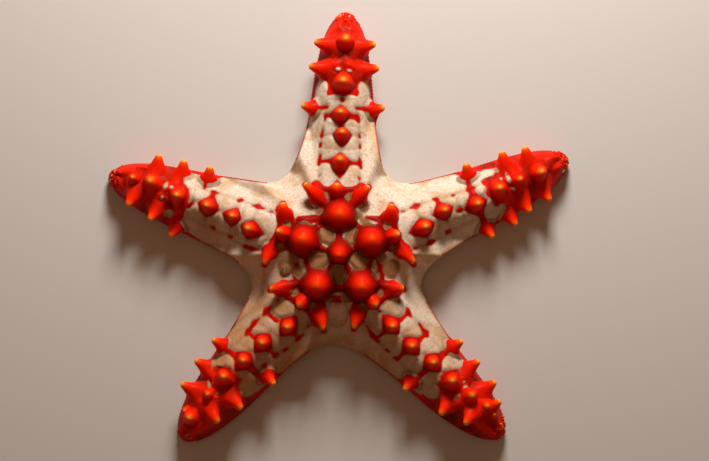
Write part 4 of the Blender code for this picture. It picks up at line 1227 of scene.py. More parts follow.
disc_patches, arm_patches, spine_patches = [], [], []
for radius, angle, foot in DISC_KNOBS:
    tip = polar(radius, angle)
    base = tip - top_normal(tip)[:2] * DISC_KNOB_LEAN
    wide = foot * PRIMARY_FOOT
    disc_patches.append(knob(base, tip, foot, angle, wide, wide, wide, ROUND, HILL))
for number, arm in enumerate(ARMS):
    for place, (s, u, foot) in enumerate(arm.knobs):
        widest, inner, outer, wide = knob_shape(number, place)
        arm_patches.append(knob(
            arm_point(arm, widest, u), arm_point(arm, s, u), foot, arm.heading,
            KNOB_INNER * (widest - inner), KNOB_OUTER * (outer - widest), KNOB_BREADTH * wide,
            DOME_POWER, DOME))
    for s, u in arm.left + arm.right:
        base = arm_point(arm, s - SIDE_SPINE_BACK, u - math.copysign(SIDE_SPINE_RUN, u))
        spine_patches.append(spine(
            base, arm_point(arm, s, u), SIDE_SPINE_RISE, SIDE_SPINE_FOOT, SIDE_RINGS))
    for tip_radius, tip_turn, root_radius, root_turn in arm.flanks:
        spine_patches.append(spine(
            polar(root_radius, arm.heading + root_turn),
            polar(tip_radius, arm.heading + tip_turn), FLANK_RISE, FLANK_FOOT, FLANK_RINGS))
# Painted shade at each kind's foot up to the share lit_above, and the painted highlight on the
# tops scaled by glow
disc_knobs = joined_growths("disc_knobs", disc_patches, glow=0.8, shade=0.95, lit_above=0.84)
arm_knobs = joined_growths("arm_knobs", arm_patches, glow=0.96, shade=0.7, lit_above=0.6)
spines = joined_growths("spines", spine_patches, glow=1.0, shade=0.5, lit_above=0.5)

# %% [markdown]
# ## Small pieces
# Hundreds of tube feet, spines and granules cover the mouth side and the edges. They
# could be instances of one object, but one mesh for each kind is one piece to export.
# An array holds the start, the end and the width of every peg, and one profile is
# turned round all of those axes at once.

# %% Many pegs in one mesh
# A peg whose axis has more than this share of the upright is measured from X instead
STEEP = 0.9
# Profiles: shares of the way along a peg, and of its width
BEAD = ((0.0, 0.0), (0.12, 0.65), (0.5, 1.0), (0.88, 0.65), (1.0, 0.0))


def peg_quads(starts, ends, widths, profile, sides):
    """Round pegs: each ring lies at a share of the way from start to end, and its
    radius is the profile's times the peg's width."""
    axes = ends - starts
    unit = axes / np.linalg.norm(axes, axis=1)[:, None]
    helper = np.where(np.abs(unit[:, 2:]) > STEEP, [1.0, 0.0, 0.0], [0.0, 0.0, 1.0])
    first = np.cross(unit, helper)
    first /= np.linalg.norm(first, axis=1)[:, None]
    turns = np.linspace(0.0, 2 * math.pi, sides + 1)[:, None]
    ring = np.cos(turns) * first[:, None] + np.sin(turns) * np.cross(unit, first)[:, None]
    share, radius = np.array(profile).T[:, None, :, None, None]
    points = starts[:, None, None] + axes[:, None, None] * share
    return grid_quads(points + radius * widths[:, None, None, None] * ring[:, None])


def pegs(name, starts, ends, widths, profile, sides, values=None):
    """One mesh of pegs; each value is a field with one number for each peg."""
    starts, ends, widths = (np.asarray(part, float) for part in (starts, ends, widths))
    points, faces, first = weld(peg_quads(starts, ends, widths, profile, sides))
    number = first // (4 * (len(profile) - 1) * sides)
    fields = {label: np.asarray(field)[number] for label, field in (values or {}).items()}
    return make_mesh(name, points, faces, fields)


def lift_to(plan, height):
    """Plan points with a height, which is one number or one for each point."""
    return np.column_stack([plan, np.broadcast_to(height, len(plan))])


print("faces of one bead:", len(peg_quads(np.zeros((1, 3)), np.ones((1, 3)), np.ones(1), BEAD, 8)))

# %% [markdown]
# ## Tube feet and furrow spines
# A starfish walks on two rows of tube feet in each furrow: soft stalks that end in a
# sucker. Each could be bent by hand, but from below only their crowd is seen, so all
# share one turned profile and lean by seeded draws. Short spines stand along the
# furrow's edges and lie inwards over it.

# %% Tube feet and furrow spines
PEG_SEED = 11
# Of the feet: spacing, first s and distance of the last from the tip, u of a row, the
# height of the roots and of the soles, the most slide, its share across, the widths
FOOT_SPACING, FIRST_FOOT, FOOT_STOP, FOOT_ROW = 2.1, 10.2, 8.5, 1.15
FOOT_ROOT, FOOT_SOLES, FOOT_SLIDE, FOOT_SLIDE_ACROSS = 5.6, (0.3, 0.9), 0.35, 0.6
FOOT_WIDTHS, FOOT_SIDES = (0.85, 1.0), 9
# Of the furrow spines: the same, with u and height of roots and tips
SPINE_SPACING, FIRST_SPINE, SPINE_STOP, SPINE_SLIDE = 1.1, 9.4, 7.0, 0.2
SPINE_ROOT, SPINE_TIP = (3.6, 1.3), (1.75, 0.5)
SPINE_WIDTHS, SPINE_SIDES = (0.34, 0.46), 7
TUBE_FOOT = ((0.0, 0.0), (0.02, 0.6), (0.35, 0.66), (0.6, 0.56), (0.78, 0.58), (0.86, 0.88),
             (0.93, 0.95), (1.0, 0.8), (0.96, 0.4), (0.95, 0.0))
FURROW_SPINE = ((0.0, 0.0), (0.03, 0.75), (0.35, 1.0), (0.75, 0.8), (0.93, 0.5), (1.0, 0.0))
random = np.random.default_rng(PEG_SEED)
foot_starts, foot_ends, spine_starts, spine_ends = [], [], [], []
for arm in ARMS:
    for side in (-1, 1):
        first = FIRST_FOOT + 0.25 * FOOT_SPACING * side
        s = np.arange(first, arm.reach - FOOT_STOP, FOOT_SPACING)
        row = FOOT_ROW * side
        foot_starts.append(lift_to(arm_point(arm, s, row), FOOT_ROOT))
        slide_s, slide_u = random.uniform(-FOOT_SLIDE, FOOT_SLIDE, (2, len(s)))
        soles = random.uniform(*FOOT_SOLES, len(s))
        sole_places = arm_point(arm, s + slide_s, row + FOOT_SLIDE_ACROSS * slide_u)
        foot_ends.append(lift_to(sole_places, soles))
        s = np.arange(FIRST_SPINE, arm.reach - SPINE_STOP, SPINE_SPACING)
        narrow = side * furrow_narrowing(arm, s)
        slide = random.uniform(-SPINE_SLIDE, SPINE_SLIDE, len(s))
        spine_starts.append(lift_to(arm_point(arm, s, SPINE_ROOT[0] * narrow), SPINE_ROOT[1]))
        spine_places = arm_point(arm, s + slide, SPINE_TIP[0] * narrow)
        spine_ends.append(lift_to(spine_places, SPINE_TIP[1] + slide))
foot_starts, foot_ends, spine_starts, spine_ends = (
    np.concatenate(part) for part in (foot_starts, foot_ends, spine_starts, spine_ends))
foot_widths = random.uniform(*FOOT_WIDTHS, len(foot_starts))
tube_feet = pegs("tube_feet", foot_starts, foot_ends, foot_widths, TUBE_FOOT, FOOT_SIDES)
spine_widths = random.uniform(*SPINE_WIDTHS, len(spine_starts))
furrow_spines = pegs(
    "furrow_spines", spine_starts, spine_ends, spine_widths, FURROW_SPINE, SPINE_SIDES)
print("tube feet:", len(foot_ends), "furrow spines:", len(spine_ends))

# %% [markdown]
# ## Granules of the mouth side
# The flat mouth side is paved with low granules. Points of a triangular net, each moved
# a little, pave it evenly without lying in rows, as free draws would not, and only those
# with room are kept.

# %% Granules of the mouth side
# Rows of a triangular net lie this share of the spacing apart
GRANULE_SPACING, ROW_SHARE, GRANULE_SHIFT = 1.9, 0.866, 0.42
PAVED_X, PAVED_Y = 104.0, 98.0
GRANULE_TOP, GRANULE_BOTTOM, GRANULE_WIDTHS, GRANULE_SIDES = 0.75, 0.02, (0.55, 1.0), 8
# Room that granules leave at the edge, the furrows, the arm's tip and the mouth
EDGE_ROOM, FURROW_ROOM, FURROW_CLOSED, TIP_ROOM, MOUTH_ROOM = 3.0, 4.4, 6.0, 3.5, 0.9
LEAST_ROOM = 0.3
GRANULE = ((0.0, 0.0), (0.35, 1.0), (0.75, 0.75), (1.0, 0.0))


def room_below(plan):
    """How far inside the flat mouth side points lie: from its edge, the furrows and
    the mouth. Each point is measured from the arm in whose sector it lies."""
    room = np.full(len(plan), -1.0)
    for arm in ARMS:
        s, u = arm_coordinates(arm, plan)
        edge = half_width(arm, s, side_of(u)) - np.abs(u) - EDGE_ROOM
        furrow = np.where(s < arm.reach - FURROW_CLOSED, np.abs(u) - FURROW_ROOM, edge)
        here = in_sector(arm, s, u) & (s < arm.reach - TIP_ROOM)
        room = np.where(here, np.minimum(edge, furrow), room)
    return np.minimum(room, distance_from(DISC_CENTRE, plan) - MOUTH_RADIUS - MOUTH_ROOM)


across_x = np.arange(-PAVED_X, PAVED_X, GRANULE_SPACING)
up_y = np.arange(-PAVED_Y, PAVED_Y, GRANULE_SPACING * ROW_SHARE)
plan = np.stack(np.meshgrid(across_x, up_y), axis=-1)
plan[1::2, :, 0] += GRANULE_SPACING / 2
plan = plan.reshape(-1, 2)
plan = plan + random.uniform(-GRANULE_SHIFT, GRANULE_SHIFT, plan.shape)
plan = plan[room_below(plan) > LEAST_ROOM]
granule_widths = random.uniform(*GRANULE_WIDTHS, len(plan))
granules = pegs(
    "mouth_side_granules", lift_to(plan, GRANULE_TOP), lift_to(plan, GRANULE_BOTTOM),
    granule_widths, GRANULE, GRANULE_SIDES)
print("granules:", len(plan))

# %% [markdown]
# ## Beads of the edge and the arm ends
# Two rows of beads run along the whole edge, and a crowd of coarse ones closes each
# arm's end. They could be bump, but seen against the floor they make the outline. The
# edge's beads are threaded on the outline at even steps of its length.

# %% Beads of the edge
BEAD_SPACING, FIRST_BEAD, BEAD_SIDES, COLOUR_INSET = 1.5, 0.5, 8, 0.5
# Share of the rim's height, inset and radius of each row of beads
BEAD_ROWS = ((0.84, 0.35, 0.6), (0.55, 0.6, 0.62))
# The beads take half of the skin's painted shade
BEAD_DARKNESS = 0.5


def skin_values(plan):
    """The skin's fields at plan points, as the skin material reads them."""
    fields = surface_fields(plan)
    return {"red": fields[:, 0], "dark": fields[:, 1] * BEAD_DARKNESS, "tan": fields[:, 3],
            "tip": np.zeros(len(plan)), "end": fields[:, 4]}


def read_along(stops, length, line):
    """The points of a line at given lengths along it."""
    return np.stack([np.interp(stops, length, line[:, axis]) for axis in (0, 1)], axis=1)


starts, ends, widths, places = [], [], [], []
for arm in ARMS:
    for line, inward in outline_rows(arm):
        steps = np.linalg.norm(np.diff(line, axis=0), axis=1)
        length = np.concatenate([[0.0], np.cumsum(steps)])
        for row, (share, inset, radius) in enumerate(BEAD_ROWS):
            stops = np.arange(FIRST_BEAD + row * BEAD_SPACING / 2, length[-1], BEAD_SPACING)
            rim, inwards = (read_along(stops, length, part) for part in (line, inward))
            high = share * skin_height(rim)
            starts.append(lift_to(rim + (inset + radius) * inwards, high))
            ends.append(lift_to(rim + (inset - radius) * inwards, high))
            widths.append(np.full(len(stops), radius))
            places.append(rim + COLOUR_INSET * inwards)
starts, ends, widths, places = (
    np.concatenate(part) for part in (starts, ends, widths, places))
margin_beads = pegs(
    "margin_beads", starts, ends, widths, BEAD, BEAD_SIDES, skin_values(places))
print("beads of the edge:", len(widths))

# %% Beads of the arm ends
GRANULES_ON_TIP, TIP_SIDES, TIP_WIDTHS = 70, 9, (0.45, 0.95)
# The distance from the tip is a draw from this range, to a power that crowds them there
TIP_DRAW, TIP_CROWDING, TIP_SPREAD = (0.3, 2.4), 1.8, 0.96
# How far a bead sinks and stands, in widths
TIP_SINK, TIP_RISE = 0.75, 1.7
# Kinds, drawn from 0 to 1: below the first cream, above the second orange
CREAM_KIND, ORANGE_KIND = 0.05, 0.85
starts, widths = [], []
for arm in ARMS:
    s = arm.reach - random.uniform(*TIP_DRAW, GRANULES_ON_TIP) ** TIP_CROWDING
    u = random.uniform(-TIP_SPREAD, TIP_SPREAD, GRANULES_ON_TIP) * half_width(arm, s, 1)
    starts.append(arm_point(arm, s, u))
    widths.append(random.uniform(*TIP_WIDTHS, GRANULES_ON_TIP))
plan, widths = np.concatenate(starts), np.concatenate(widths)
low = lift_to(plan, skin_height(plan) - TIP_SINK * widths)
high = low + [0.0, 0.0, 1.0] * (TIP_RISE * widths[:, None])
values = skin_values(plan)
kind = random.uniform(0.0, 1.0, len(plan))
values["tip"] = np.where(kind > ORANGE_KIND, 0.9, 0.6 * kind)
values["red"] = np.where(kind < CREAM_KIND, -1.0, 3.0)
tip_granules = pegs("tip_granules", low, high, widths, BEAD, TIP_SIDES, values)
print("beads of the arm ends:", len(widths))

# %% [markdown]
# ## Jaws and sieve plate
# Five jaws close the mouth, each a wedge between two furrows with small spines on its
# rim. One ring makes them all: its opening and its grooves are waves of the angle. The
# sieve plate, through which the animal takes in water, is a small round plate whose
# wavy grooves come from one cosine that is bent by a second.

# %% Jaws
JAW_RADIUS, JAW_LOW, JAW_HIGH, JAW_TURNS = 8.0, 0.6, 3.0, 241
# Share of the way from the opening to the outer radius, and height, of each ring
JAW_ROWS = (
    (1.0, JAW_HIGH), (1.0, 1.1), (0.985, 0.8), (0.94, 0.65), (0.8, JAW_LOW), (0.6, JAW_LOW),
    (0.4, JAW_LOW), (0.22, 0.65), (0.1, 0.75), (0.03, 1.0), (0.0, 1.4), (0.0, 2.7),
    (0.06, JAW_HIGH), (1.0, JAW_HIGH))
OPENING_AT_JAWS, OPENING_GAIN = 2.4, 3.6
# Grooves between the jaws and down the middle of each, ripples over them, and the
# height under which rings are carved
WIDE_GROOVE, WIDE_GROOVE_BAND, FINE_GROOVE, FINE_GROOVE_WIDTH = 1.1, (0.7, 1.0), 0.6, 2.2
RIPPLE, RIPPLES, CARVED_BELOW, CARVED_BAND = 0.12, 45, 1.2, (0.0, 0.5)


def furrow_share(turn):
    """1 where an arm's furrow meets the mouth and 0 at the jaws: (1 + cos 5 turn) / 2."""
    return (1 + np.cos(np.radians(5 * turn))) / 2


def jaw_opening(turn):
    """The mouth's radius: wide where an arm's furrow ends, narrow at the five jaws."""
    return OPENING_AT_JAWS + OPENING_GAIN * furrow_share(turn) ** 2


def jaw_grid():
    """A closed ring. Deep furrows part five jaws, and a fine one divides each in two."""
    turn = np.linspace(0.0, 360.0, JAW_TURNS)
    facing = furrow_share(turn)
    fine = bell(turn % 72.0 - 36.0, FINE_GROOVE_WIDTH)
    groove = WIDE_GROOVE * smooth(facing, *WIDE_GROOVE_BAND) + FINE_GROOVE * fine
    ripple = RIPPLE * np.cos(np.radians(RIPPLES * turn)) * (1 - facing)
    along = np.stack([np.cos(np.radians(90 + turn)), np.sin(np.radians(90 + turn))], axis=1)
    rows = []
    for share, height in JAW_ROWS:
        radius = jaw_opening(turn) * (1 - share) + JAW_RADIUS * share
        depth = smooth(1.0 - abs(2 * share - 1), *CARVED_BAND) * (height < CARVED_BELOW)
        carved = np.maximum(height + (groove + ripple) * depth, JAW_LOW)
        rows.append(lift_to(DISC_CENTRE + radius[:, None] * along, carved))
    return np.stack(rows)


jaws = make_mesh("jaws", *weld(grid_quads(jaw_grid()))[:2])

# %% Sieve plate
SIEVE_PLACE, SIEVE_RADIUS, SIEVE_RINGS, SIEVE_TURNS = (24.4, 198.0), 2.6, 24, 145
SIEVE_RISE, SIEVE_SINK, SIEVE_ROUNDNESS, SIEVE_WALL = 0.75, 0.1, 4, 1.0
# Grooves: how deep, how many, how far and how often they bend, and their two ends
SIEVE_WAVE, SIEVE_WAVES, SIEVE_BEND, SIEVE_BENDS = 0.1, 20, 4, 7
WAVE_START, WAVE_STOP = (0.1, 0.5), (0.85, 1.0)


def sieve_grid():
    """A round plate on the skin whose wavy grooves run outwards from its middle."""
    centre = polar(*SIEVE_PLACE)
    normal = top_normal(centre)
    first, second = cross_axes(normal, np.append(heading_axes(SIEVE_PLACE[1])[0], 0.0))
    root = np.append(centre, skin_height(centre[None])[0] - SIEVE_SINK)
    share = np.linspace(0.0, 1.0, SIEVE_RINGS)[:, None]
    turns = np.linspace(0.0, 2 * math.pi, SIEVE_TURNS)[None]
    wave = np.cos(SIEVE_WAVES * turns + SIEVE_BEND * np.sin(SIEVE_BENDS * share))
    wave = wave * smooth(share, *WAVE_START)
    rise = SIEVE_RISE * (1 - share**SIEVE_ROUNDNESS)
    rise = rise + SIEVE_WAVE * wave * (1 - smooth(share, *WAVE_STOP))
    share = np.concatenate([share, [[1.0], [0.0]]])
    rise = np.concatenate([rise, np.full((2, SIEVE_TURNS), -SIEVE_WALL)])
    flat = np.cos(turns)[..., None] * first + np.sin(turns)[..., None] * second
    return root + SIEVE_RADIUS * share[..., None] * flat + rise[..., None] * normal


sieve_plate = make_mesh("sieve_plate", *weld(grid_quads(sieve_grid()))[:2])

# %% Spines of the jaws
# Degrees from the middle of a jaw, and distance behind its edge, of the roots
JAW_SPINES = ((3.5, 1.1), (10.5, 1.2), (17.5, 1.3), (6.0, 2.8), (13.0, 3.0), (19.0, 3.3))
JAW_SPINE_RUN, LEAST_RADIUS, JAW_SPINE_TURN = 2.7, 0.9, 0.8
JAW_SPINE_ROOT, JAW_SPINE_TIP, JAW_SPINE_WIDTH, JAW_SPINE_SIDES = 1.25, 0.65, 0.5, 9
starts, ends = [], []
for turn in np.arange(36.0, 360.0, 72.0):
    for offset, back in JAW_SPINES:
        for side in (-1, 1):
            angle = turn + side * offset
            root = float(jaw_opening(angle)) + back
            tip = max(root - JAW_SPINE_RUN, LEAST_RADIUS)
            tip_angle = 90 + turn + side * offset * JAW_SPINE_TURN
            starts.append(np.append(polar(root, 90 + angle), JAW_SPINE_ROOT))
            ends.append(np.append(polar(tip, tip_angle), JAW_SPINE_TIP))
jaw_spines = pegs("jaw_spines", starts, ends, np.full(len(starts), JAW_SPINE_WIDTH),
                  FURROW_SPINE, JAW_SPINE_SIDES)
print("spines of the jaws:", len(starts))

# %% [markdown]
# ## Shader maths in Python
# A material is a graph of nodes. Wiring each one by hand hides the idea, so one small
# class wraps a socket and turns Python's operators into Math nodes.

# %% A wire
class Wire:
    """An output socket in a node tree. Arithmetic on it adds Math nodes."""

    def __init__(self, tree, socket=None):
        self.tree, self.socket = tree, socket

    def add(self, kind, inputs=None, settings=None, output=0):
        """A node of any kind: its settings first, then a value or wire for each input."""
        made = self.tree.nodes.new(kind)
        for name, value in (settings or {}).items():
            setattr(made, name, value)
        for key, value in (inputs or {}).items():
            if isinstance(value, Wire):
                self.tree.links.new(value.socket, made.inputs[key])
            else:
                made.inputs[key].default_value = value
        return Wire(self.tree, made.outputs[output])

    def maths(self, operation, *values):
        """A Math node on numbers or wires."""
        return self.add("ShaderNodeMath", dict(enumerate(values)), {"operation": operation})

    def __add__(self, other):
        return self.maths("ADD", self, other)

    def __radd__(self, other):
        return self.maths("ADD", other, self)

    def __sub__(self, other):
        return self.maths("SUBTRACT", self, other)

    def __rsub__(self, other):
        return self.maths("SUBTRACT", other, self)

    def __mul__(self, other):
        return self.maths("MULTIPLY", self, other)

    def __rmul__(self, other):
        return self.maths("MULTIPLY", other, self)

    def limited(self, low, high):
        """0 at low, 1 at high, and a smooth step between."""
        return self.add("ShaderNodeMapRange", {"Value": self, "From Min": low, "From Max": high},
                        {"interpolation_type": "SMOOTHSTEP"})

    def colours(self, low, high):
        """The colour low where this mask is 0, and high where it is 1."""
        return self.add("ShaderNodeMix", {0: self, 6: low, 7: high}, {"data_type": "RGBA"}, 2)


print("operators of a wire:", [name for name in vars(Wire) if name.startswith("__r")])

# %% [markdown]
# ## Colours and materials
# Every finish starts from the same few calls. What changes over a surface is linked to
# the shader, and what is the same all over is set on the shader's own sockets.

# %% Colours and helpers of the materials
def rgb(red, green, blue):
    """A colour as the sockets take it, with full opacity."""
    return (red, green, blue, 1.0)


# The brightest red is a painted highlight on the knobs' tops
RED, FLAME, HIGHLIGHT_RED = rgb(0.76, 0.004, 0.0), rgb(0.88, 0.016, 0.0), rgb(1.0, 0.018, 0.0)
# The deepest red is painted shade, in crevices and at the knobs' feet
SHADE_RED = rgb(0.12, 0.0015, 0.0006)
# Orange and pale tip are the tips' own colour and partly a painted highlight
ORANGE, PALE_TIP = rgb(1.0, 0.13, 0.004), rgb(1.0, 0.42, 0.07)
CREAM, PALE_CREAM = rgb(0.68, 0.5, 0.33), rgb(0.78, 0.68, 0.56)
# The warmer tan is painted shade on the lower arms
TAN, LOWER_SHADE_TAN = rgb(0.36, 0.19, 0.08), rgb(0.5, 0.2, 0.06)
# The pads' brown is painted shade
BROWN, PAD_SHADE_BROWN = rgb(0.12, 0.05, 0.018), rgb(0.27, 0.1, 0.035)


def start_material(name):
    """A material, a wire of its tree, and its Object coordinates."""
    material = bpy.data.materials.new(name)
    material.use_nodes = True
    wire = Wire(material.node_tree)
    return material, wire, wire.add("ShaderNodeTexCoord", output="Object")


def noise(wire, place, scale, detail=2.0, roughness=0.5):
    """Noise from 0 to 1 whose lumps are about 1 / scale metres wide."""
    return wire.add("ShaderNodeTexNoise", {
        "Vector": place, "Scale": scale, "Detail": detail, "Roughness": roughness})


def set_shader(wire, varying, constant):
    """Links what varies to the shader's sockets, and sets the others directly."""
    shader = wire.tree.nodes["Principled BSDF"]
    for name, value in varying.items():
        wire.tree.links.new(value.socket, shader.inputs[name])
    for name, value in constant.items():
        shader.inputs[name].default_value = value


def dress(piece, material):
    """Gives a piece its material and its body."""
    piece.data.materials.append(material)
    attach(piece, "root")


print("the net's red is", RED[:3], "and the knobs' tips are", PALE_TIP[:3])

# %% [markdown]
# ## The skin's finish
# The living skin has a soft sheen. The red is saturated, with painted shade of deep red at the
# knobs' feet and in the hollows, a painted highlight of brighter red on the knobs' tops, and
# orange at the tips, which is their own colour and partly a painted highlight. The cream is a fine
# grain of pale plates with brown pores and soft tan clouds, with painted shade of tan and brown in
# the valleys and on the disc's pads, and a warmer painted shade on the lower arms. It could be
# several materials, but one that reads the fields kept with the mesh lets the same red run from
# the skin over every knob without a seam.

# %% Cream and red, layer by layer
# Half the width in mm of the strip in which cream turns red
EDGE_BLEND = 0.1
# Scales of noise: patches with pores in the cream, and specks in the red's hollows
PORE_PATCH_SCALE, SPECK_SCALE = 260.0, 1300.0
# How much of each layer shows over those before it, in the order of the layers
CLOUD_SHARE, TAN_SHARE, PAD_SHADE_SHARE, GRAIN_SHARE, PORE_SHARE = 0.35, 0.65, 0.85, 0.5, 0.35
LOWER_SHADE_SHARE, RIM_SHARE, SPECK_SHARE, ORANGE_SHARE, PALE_SHARE = 0.7, 0.4, 0.8, 0.85, 0.8
# Painted shade on the lower arms: between which y in metres it rises, and what x adds to y
LOWER_SHADE_BAND, LOWER_SHADE_LEAN = (0.005, -0.085), 0.5


def cream_layers(wire, place, field, distance, cloud, grain, pores):
    """Clouds, tan, the pads' painted shade in brown, grain, pores, a warmer painted shade on the
    lower arms, then painted shade in brown beside the red and in crevices. The tan is painted
    shade in the valleys and on the pads. Each line mixes one more layer over the ones before."""
    pore = pores.limited(0.3, 0.12) * noise(wire, place, PORE_PATCH_SCALE).limited(0.42, 0.62)
    cream = cloud.limited(0.42, 0.6).colours(PALE_CREAM, CREAM)
    clouds = cloud.limited(0.52, 0.76) * CLOUD_SHARE
    # Tan in the valleys and on the pads is painted shade, and so is the pads' brown below
    cream = (clouds + TAN_SHARE * field["tan"].limited(-0.2, 1.2)).colours(cream, TAN)
    cream = (PAD_SHADE_SHARE * field["tan"].limited(1.0, 1.9)).colours(cream, PAD_SHADE_BROWN)
    cream = (grain.limited(0.48, 0.68) * GRAIN_SHARE).colours(cream, TAN)
    cream = (pore * PORE_SHARE).colours(cream, BROWN)
    # Painted shade: the lower arms are warmer and darker, by their place on the animal
    along_x, along_y = (
        wire.add("ShaderNodeSeparateXYZ", {0: place}, output=axis) for axis in "XY")
    lower = (along_y + LOWER_SHADE_LEAN * along_x).limited(*LOWER_SHADE_BAND)
    cream = (lower * LOWER_SHADE_SHARE).colours(cream, LOWER_SHADE_TAN)
    # Painted shade: brown in the cream beside the raised red and in its crevices
    cream = (distance.limited(-0.7, 0.0) * RIM_SHARE).colours(cream, BROWN)
    return field["dark"].colours(cream, BROWN)


def red_layers(wire, place, field, cloud):
    """Flame in the arm ends, tan specks in their hollows, a painted highlight of brighter red on
    the tops, painted shade of deep red in crevices and at the feet, then orange and pale tips,
    which are the tips' own colour and partly a painted highlight."""
    tip, end, dark = field["tip"], field["end"], field["dark"]
    flame = (end * (0.55 + 0.9 * (cloud - 0.5))).limited(0.0, 1.0)
    reds = flame.colours(RED, FLAME)
    speckle = noise(wire, place, SPECK_SCALE).limited(0.56, 0.7) * end * dark
    reds = (speckle * SPECK_SHARE).colours(reds, TAN)
    # Painted highlight: brighter red on the upper part of each knob
    reds = tip.limited(0.25, 0.7).colours(reds, HIGHLIGHT_RED)
    # Painted shade: deep red in crevices and at the feet
    reds = dark.colours(reds, SHADE_RED)
    # Orange and pale tips: their own colour, and partly a painted highlight on the tops
    glow = (tip.limited(0.5, 1.0) + 0.25 * (cloud - 0.5)).limited(0.1, 1.05)
    reds = (glow * ORANGE_SHARE).colours(reds, ORANGE)
    return (tip.limited(0.88, 0.98) * PALE_SHARE).colours(reds, PALE_TIP)


print("cream and red mix over", 2 * EDGE_BLEND, "mm")

# %% Skin material
# dark holds the painted shade, and tip steers the orange tips and their painted highlight
FIELDS = ("red", "dark", "tip", "tan", "end")
# Scales of the noise that frays the red's edge by up to FRAYING / 2 mm, of the clouds,
# the grain and the lumps, and of the cells whose middles are pores
FRAY_SCALE, CLOUD_SCALE, GRAIN_SCALE, LUMP_SCALE, PORE_SCALE = 900.0, 95.0, 1150.0, 520.0, 1500.0
FRAYING = 0.6
# The bump: strength, depth in metres, and what red takes from it and the ends add
BUMP_STRENGTH, BUMP_DEPTH, RED_SMOOTHNESS, END_BUMP = 0.5, 0.0004, 0.72, 0.4


def skin_material():
    """The whole skin: red or cream by the distance inside the red, whose edge is frayed
    by noise, and a bump of lumps, grain and pores that is weaker on the red."""
    material, wire, place = start_material("red_and_cream_skin")
    field = {
        name: wire.add("ShaderNodeAttribute", settings={"attribute_name": name}, output="Fac")
        for name in FIELDS}
    distance = field["red"] + FRAYING * (noise(wire, place, FRAY_SCALE) - 0.5)
    red = distance.limited(-EDGE_BLEND, EDGE_BLEND)
    cloud = noise(wire, place, CLOUD_SCALE, 4.0, 0.6)
    grain = noise(wire, place, GRAIN_SCALE, 3.0, 0.6)
    pores = wire.add("ShaderNodeTexVoronoi", {"Vector": place, "Scale": PORE_SCALE})
    cream = cream_layers(wire, place, field, distance, cloud, grain, pores)
    reds = red_layers(wire, place, field, cloud)
    lumps = noise(wire, place, LUMP_SCALE) * 0.5 + grain * 0.25
    lumps = lumps - pores.limited(0.3, 0.1) * 0.25
    bump = wire.add("ShaderNodeBump", {
        "Height": lumps * (1 - RED_SMOOTHNESS * red + END_BUMP * field["end"]),
        "Strength": BUMP_STRENGTH, "Distance": BUMP_DEPTH})
    set_shader(wire, {
        "Base Color": red.colours(cream, reds), "Roughness": 0.64 - 0.04 * red + 0.1 * grain,
        "Normal": bump, "Coat Weight": 0.05 * red,
    }, {
        "Coat Roughness": 0.3, "Subsurface Weight": 0.1, "Subsurface Radius": (1.0, 0.35, 0.2),
        "Subsurface Scale": 0.0015, "Specular IOR Level": 0.1,
        "Specular Tint": rgb(1.0, 0.5, 0.25)})
    return material


living_skin = skin_material()
for piece, slot in (
        (skin, "cream_skin"), (disc_knobs, "red_skin"), (arm_knobs, "red_skin"),
        (spines, "red_skin"), (margin_beads, "cream_skin"), (tip_granules, "red_skin")):
    dress(piece, living_skin)
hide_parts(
    "disc", *[f"arm_{n}" for n in range(1, 6)], *[f"arm_tip_{n}" for n in range(1, 6)])
print("skin material has", len(living_skin.node_tree.nodes), "nodes")

# %% [markdown]
# ## Finish of the small pieces
# Tube feet are soft and amber, granules and spines are cream to tan, and the sieve
# plate is browner. From a hand's breadth all are only specks of colour, so two tones
# mixed by noise and a fine bump are enough, in one function with other colours each time.

# %% Materials of the small pieces
FINE_SCALE, GRAIN_BUMP, GRAIN_DEPTH, SMALL_SPECULAR = 2200.0, 0.4, 0.0002, 0.25


def speckled_material(name, main, other, scale, roughness):
    """Two colours mixed by clouds of noise, with a fine grain in the bump."""
    material, wire, place = start_material(name)
    cloud = noise(wire, place, scale, 3.0)
    grain = noise(wire, place, FINE_SCALE, 3.0, 0.6)
    colour = cloud.limited(0.4, 0.6).colours(main, other)
    colour = (grain.limited(0.5, 0.75) * 0.35).colours(colour, BROWN)
    bump = wire.add("ShaderNodeBump", {
        "Height": grain, "Strength": GRAIN_BUMP, "Distance": GRAIN_DEPTH})
    set_shader(wire, {"Base Color": colour, "Normal": bump},
               {"Roughness": roughness, "Specular IOR Level": SMALL_SPECULAR})
    return material


foot_skin = speckled_material(
    "tube_foot_skin", rgb(0.72, 0.45, 0.22), rgb(0.8, 0.6, 0.4), 400.0, 0.35)
granule_skin = speckled_material("granule_skin", CREAM, rgb(0.6, 0.36, 0.2), 160.0, 0.55)
jaw_skin = speckled_material("jaw_skin", TAN, CREAM, 300.0, 0.55)
sieve_skin = speckled_material("sieve_skin", rgb(0.24, 0.12, 0.05), TAN, 900.0, 0.6)
for piece, material, slot in (
        (tube_feet, foot_skin, "cream_skin"), (furrow_spines, granule_skin, "cream_skin"),
        (granules, granule_skin, "cream_skin"), (jaws, jaw_skin, "tan_skin"),
        (jaw_spines, granule_skin, "tan_skin"), (sieve_plate, sieve_skin, "cream_skin")):
    dress(piece, material)
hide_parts("mouth")
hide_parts("madreporite")
print("materials:", sorted(material.name for material in bpy.data.materials))

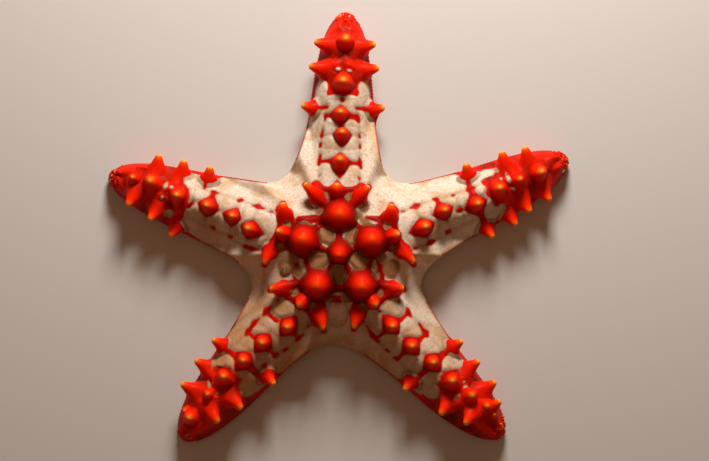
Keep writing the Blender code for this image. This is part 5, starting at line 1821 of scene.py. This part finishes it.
# %% [markdown]
# ## Floor and light
# A pale floor and one soft lamp, placed where the picture's light comes from: beyond
# the top arm, a little to the right and low, so that each knob throws a soft shadow
# towards the viewer. A weak warm lamp overhead and a faint warm surround fill the rest.

# %% Floor
FLOOR_REACH = 3
FLOOR_CORNERS = [(-1, -1), (1, -1), (1, 1), (-1, 1)]
FLOOR_COLOUR, FLOOR_ROUGHNESS = rgb(0.62, 0.6, 0.58), 0.8

floor_data = bpy.data.meshes.new("floor")
floor_data.from_pydata(
    [(FLOOR_REACH * x, FLOOR_REACH * y, 0) for x, y in FLOOR_CORNERS], [], [(0, 1, 2, 3)])
floor = bpy.data.objects.new("floor", floor_data)
bpy.context.scene.collection.objects.link(floor)
floor_material, floor_wire, _ = start_material("pale_floor")
set_shader(floor_wire, {}, {"Base Color": FLOOR_COLOUR, "Roughness": FLOOR_ROUGHNESS})
floor_data.materials.append(floor_material)
print("floor is", 2 * FLOOR_REACH, "metres wide")

# %% Light
SURROUND_COLOUR, SURROUND_STRENGTH = rgb(1.0, 0.55, 0.3), 0.13


def lamp(name, place, power, size, colour):
    """A square lamp of a given width in metres that faces the model."""
    data = bpy.data.lights.new(name, "AREA")
    data.energy, data.size, data.color = power, size, colour
    made = bpy.data.objects.new(name, data)
    bpy.context.scene.collection.objects.link(made)
    made.location = place
    inwards = Vector((0, 0, 0)) - Vector(place)
    made.rotation_euler = inwards.to_track_quat("-Z", "Y").to_euler()


lamp("key", (0.05, 0.45, 0.31), power=3.85, size=0.16, colour=(1.0, 0.94, 0.87))
lamp("fill", (-0.1, 0.0, 1.3), power=0.75, size=0.8, colour=(1.0, 0.55, 0.28))
world = bpy.data.worlds.new("surround")
world.use_nodes = True
surround = world.node_tree.nodes["Background"]
surround.inputs["Color"].default_value = SURROUND_COLOUR
surround.inputs["Strength"].default_value = SURROUND_STRENGTH
bpy.context.scene.world = world
bpy.context.scene.view_settings.view_transform = "Standard"
print("lamps:", sorted(light.name for light in bpy.data.lights))

# %% [markdown]
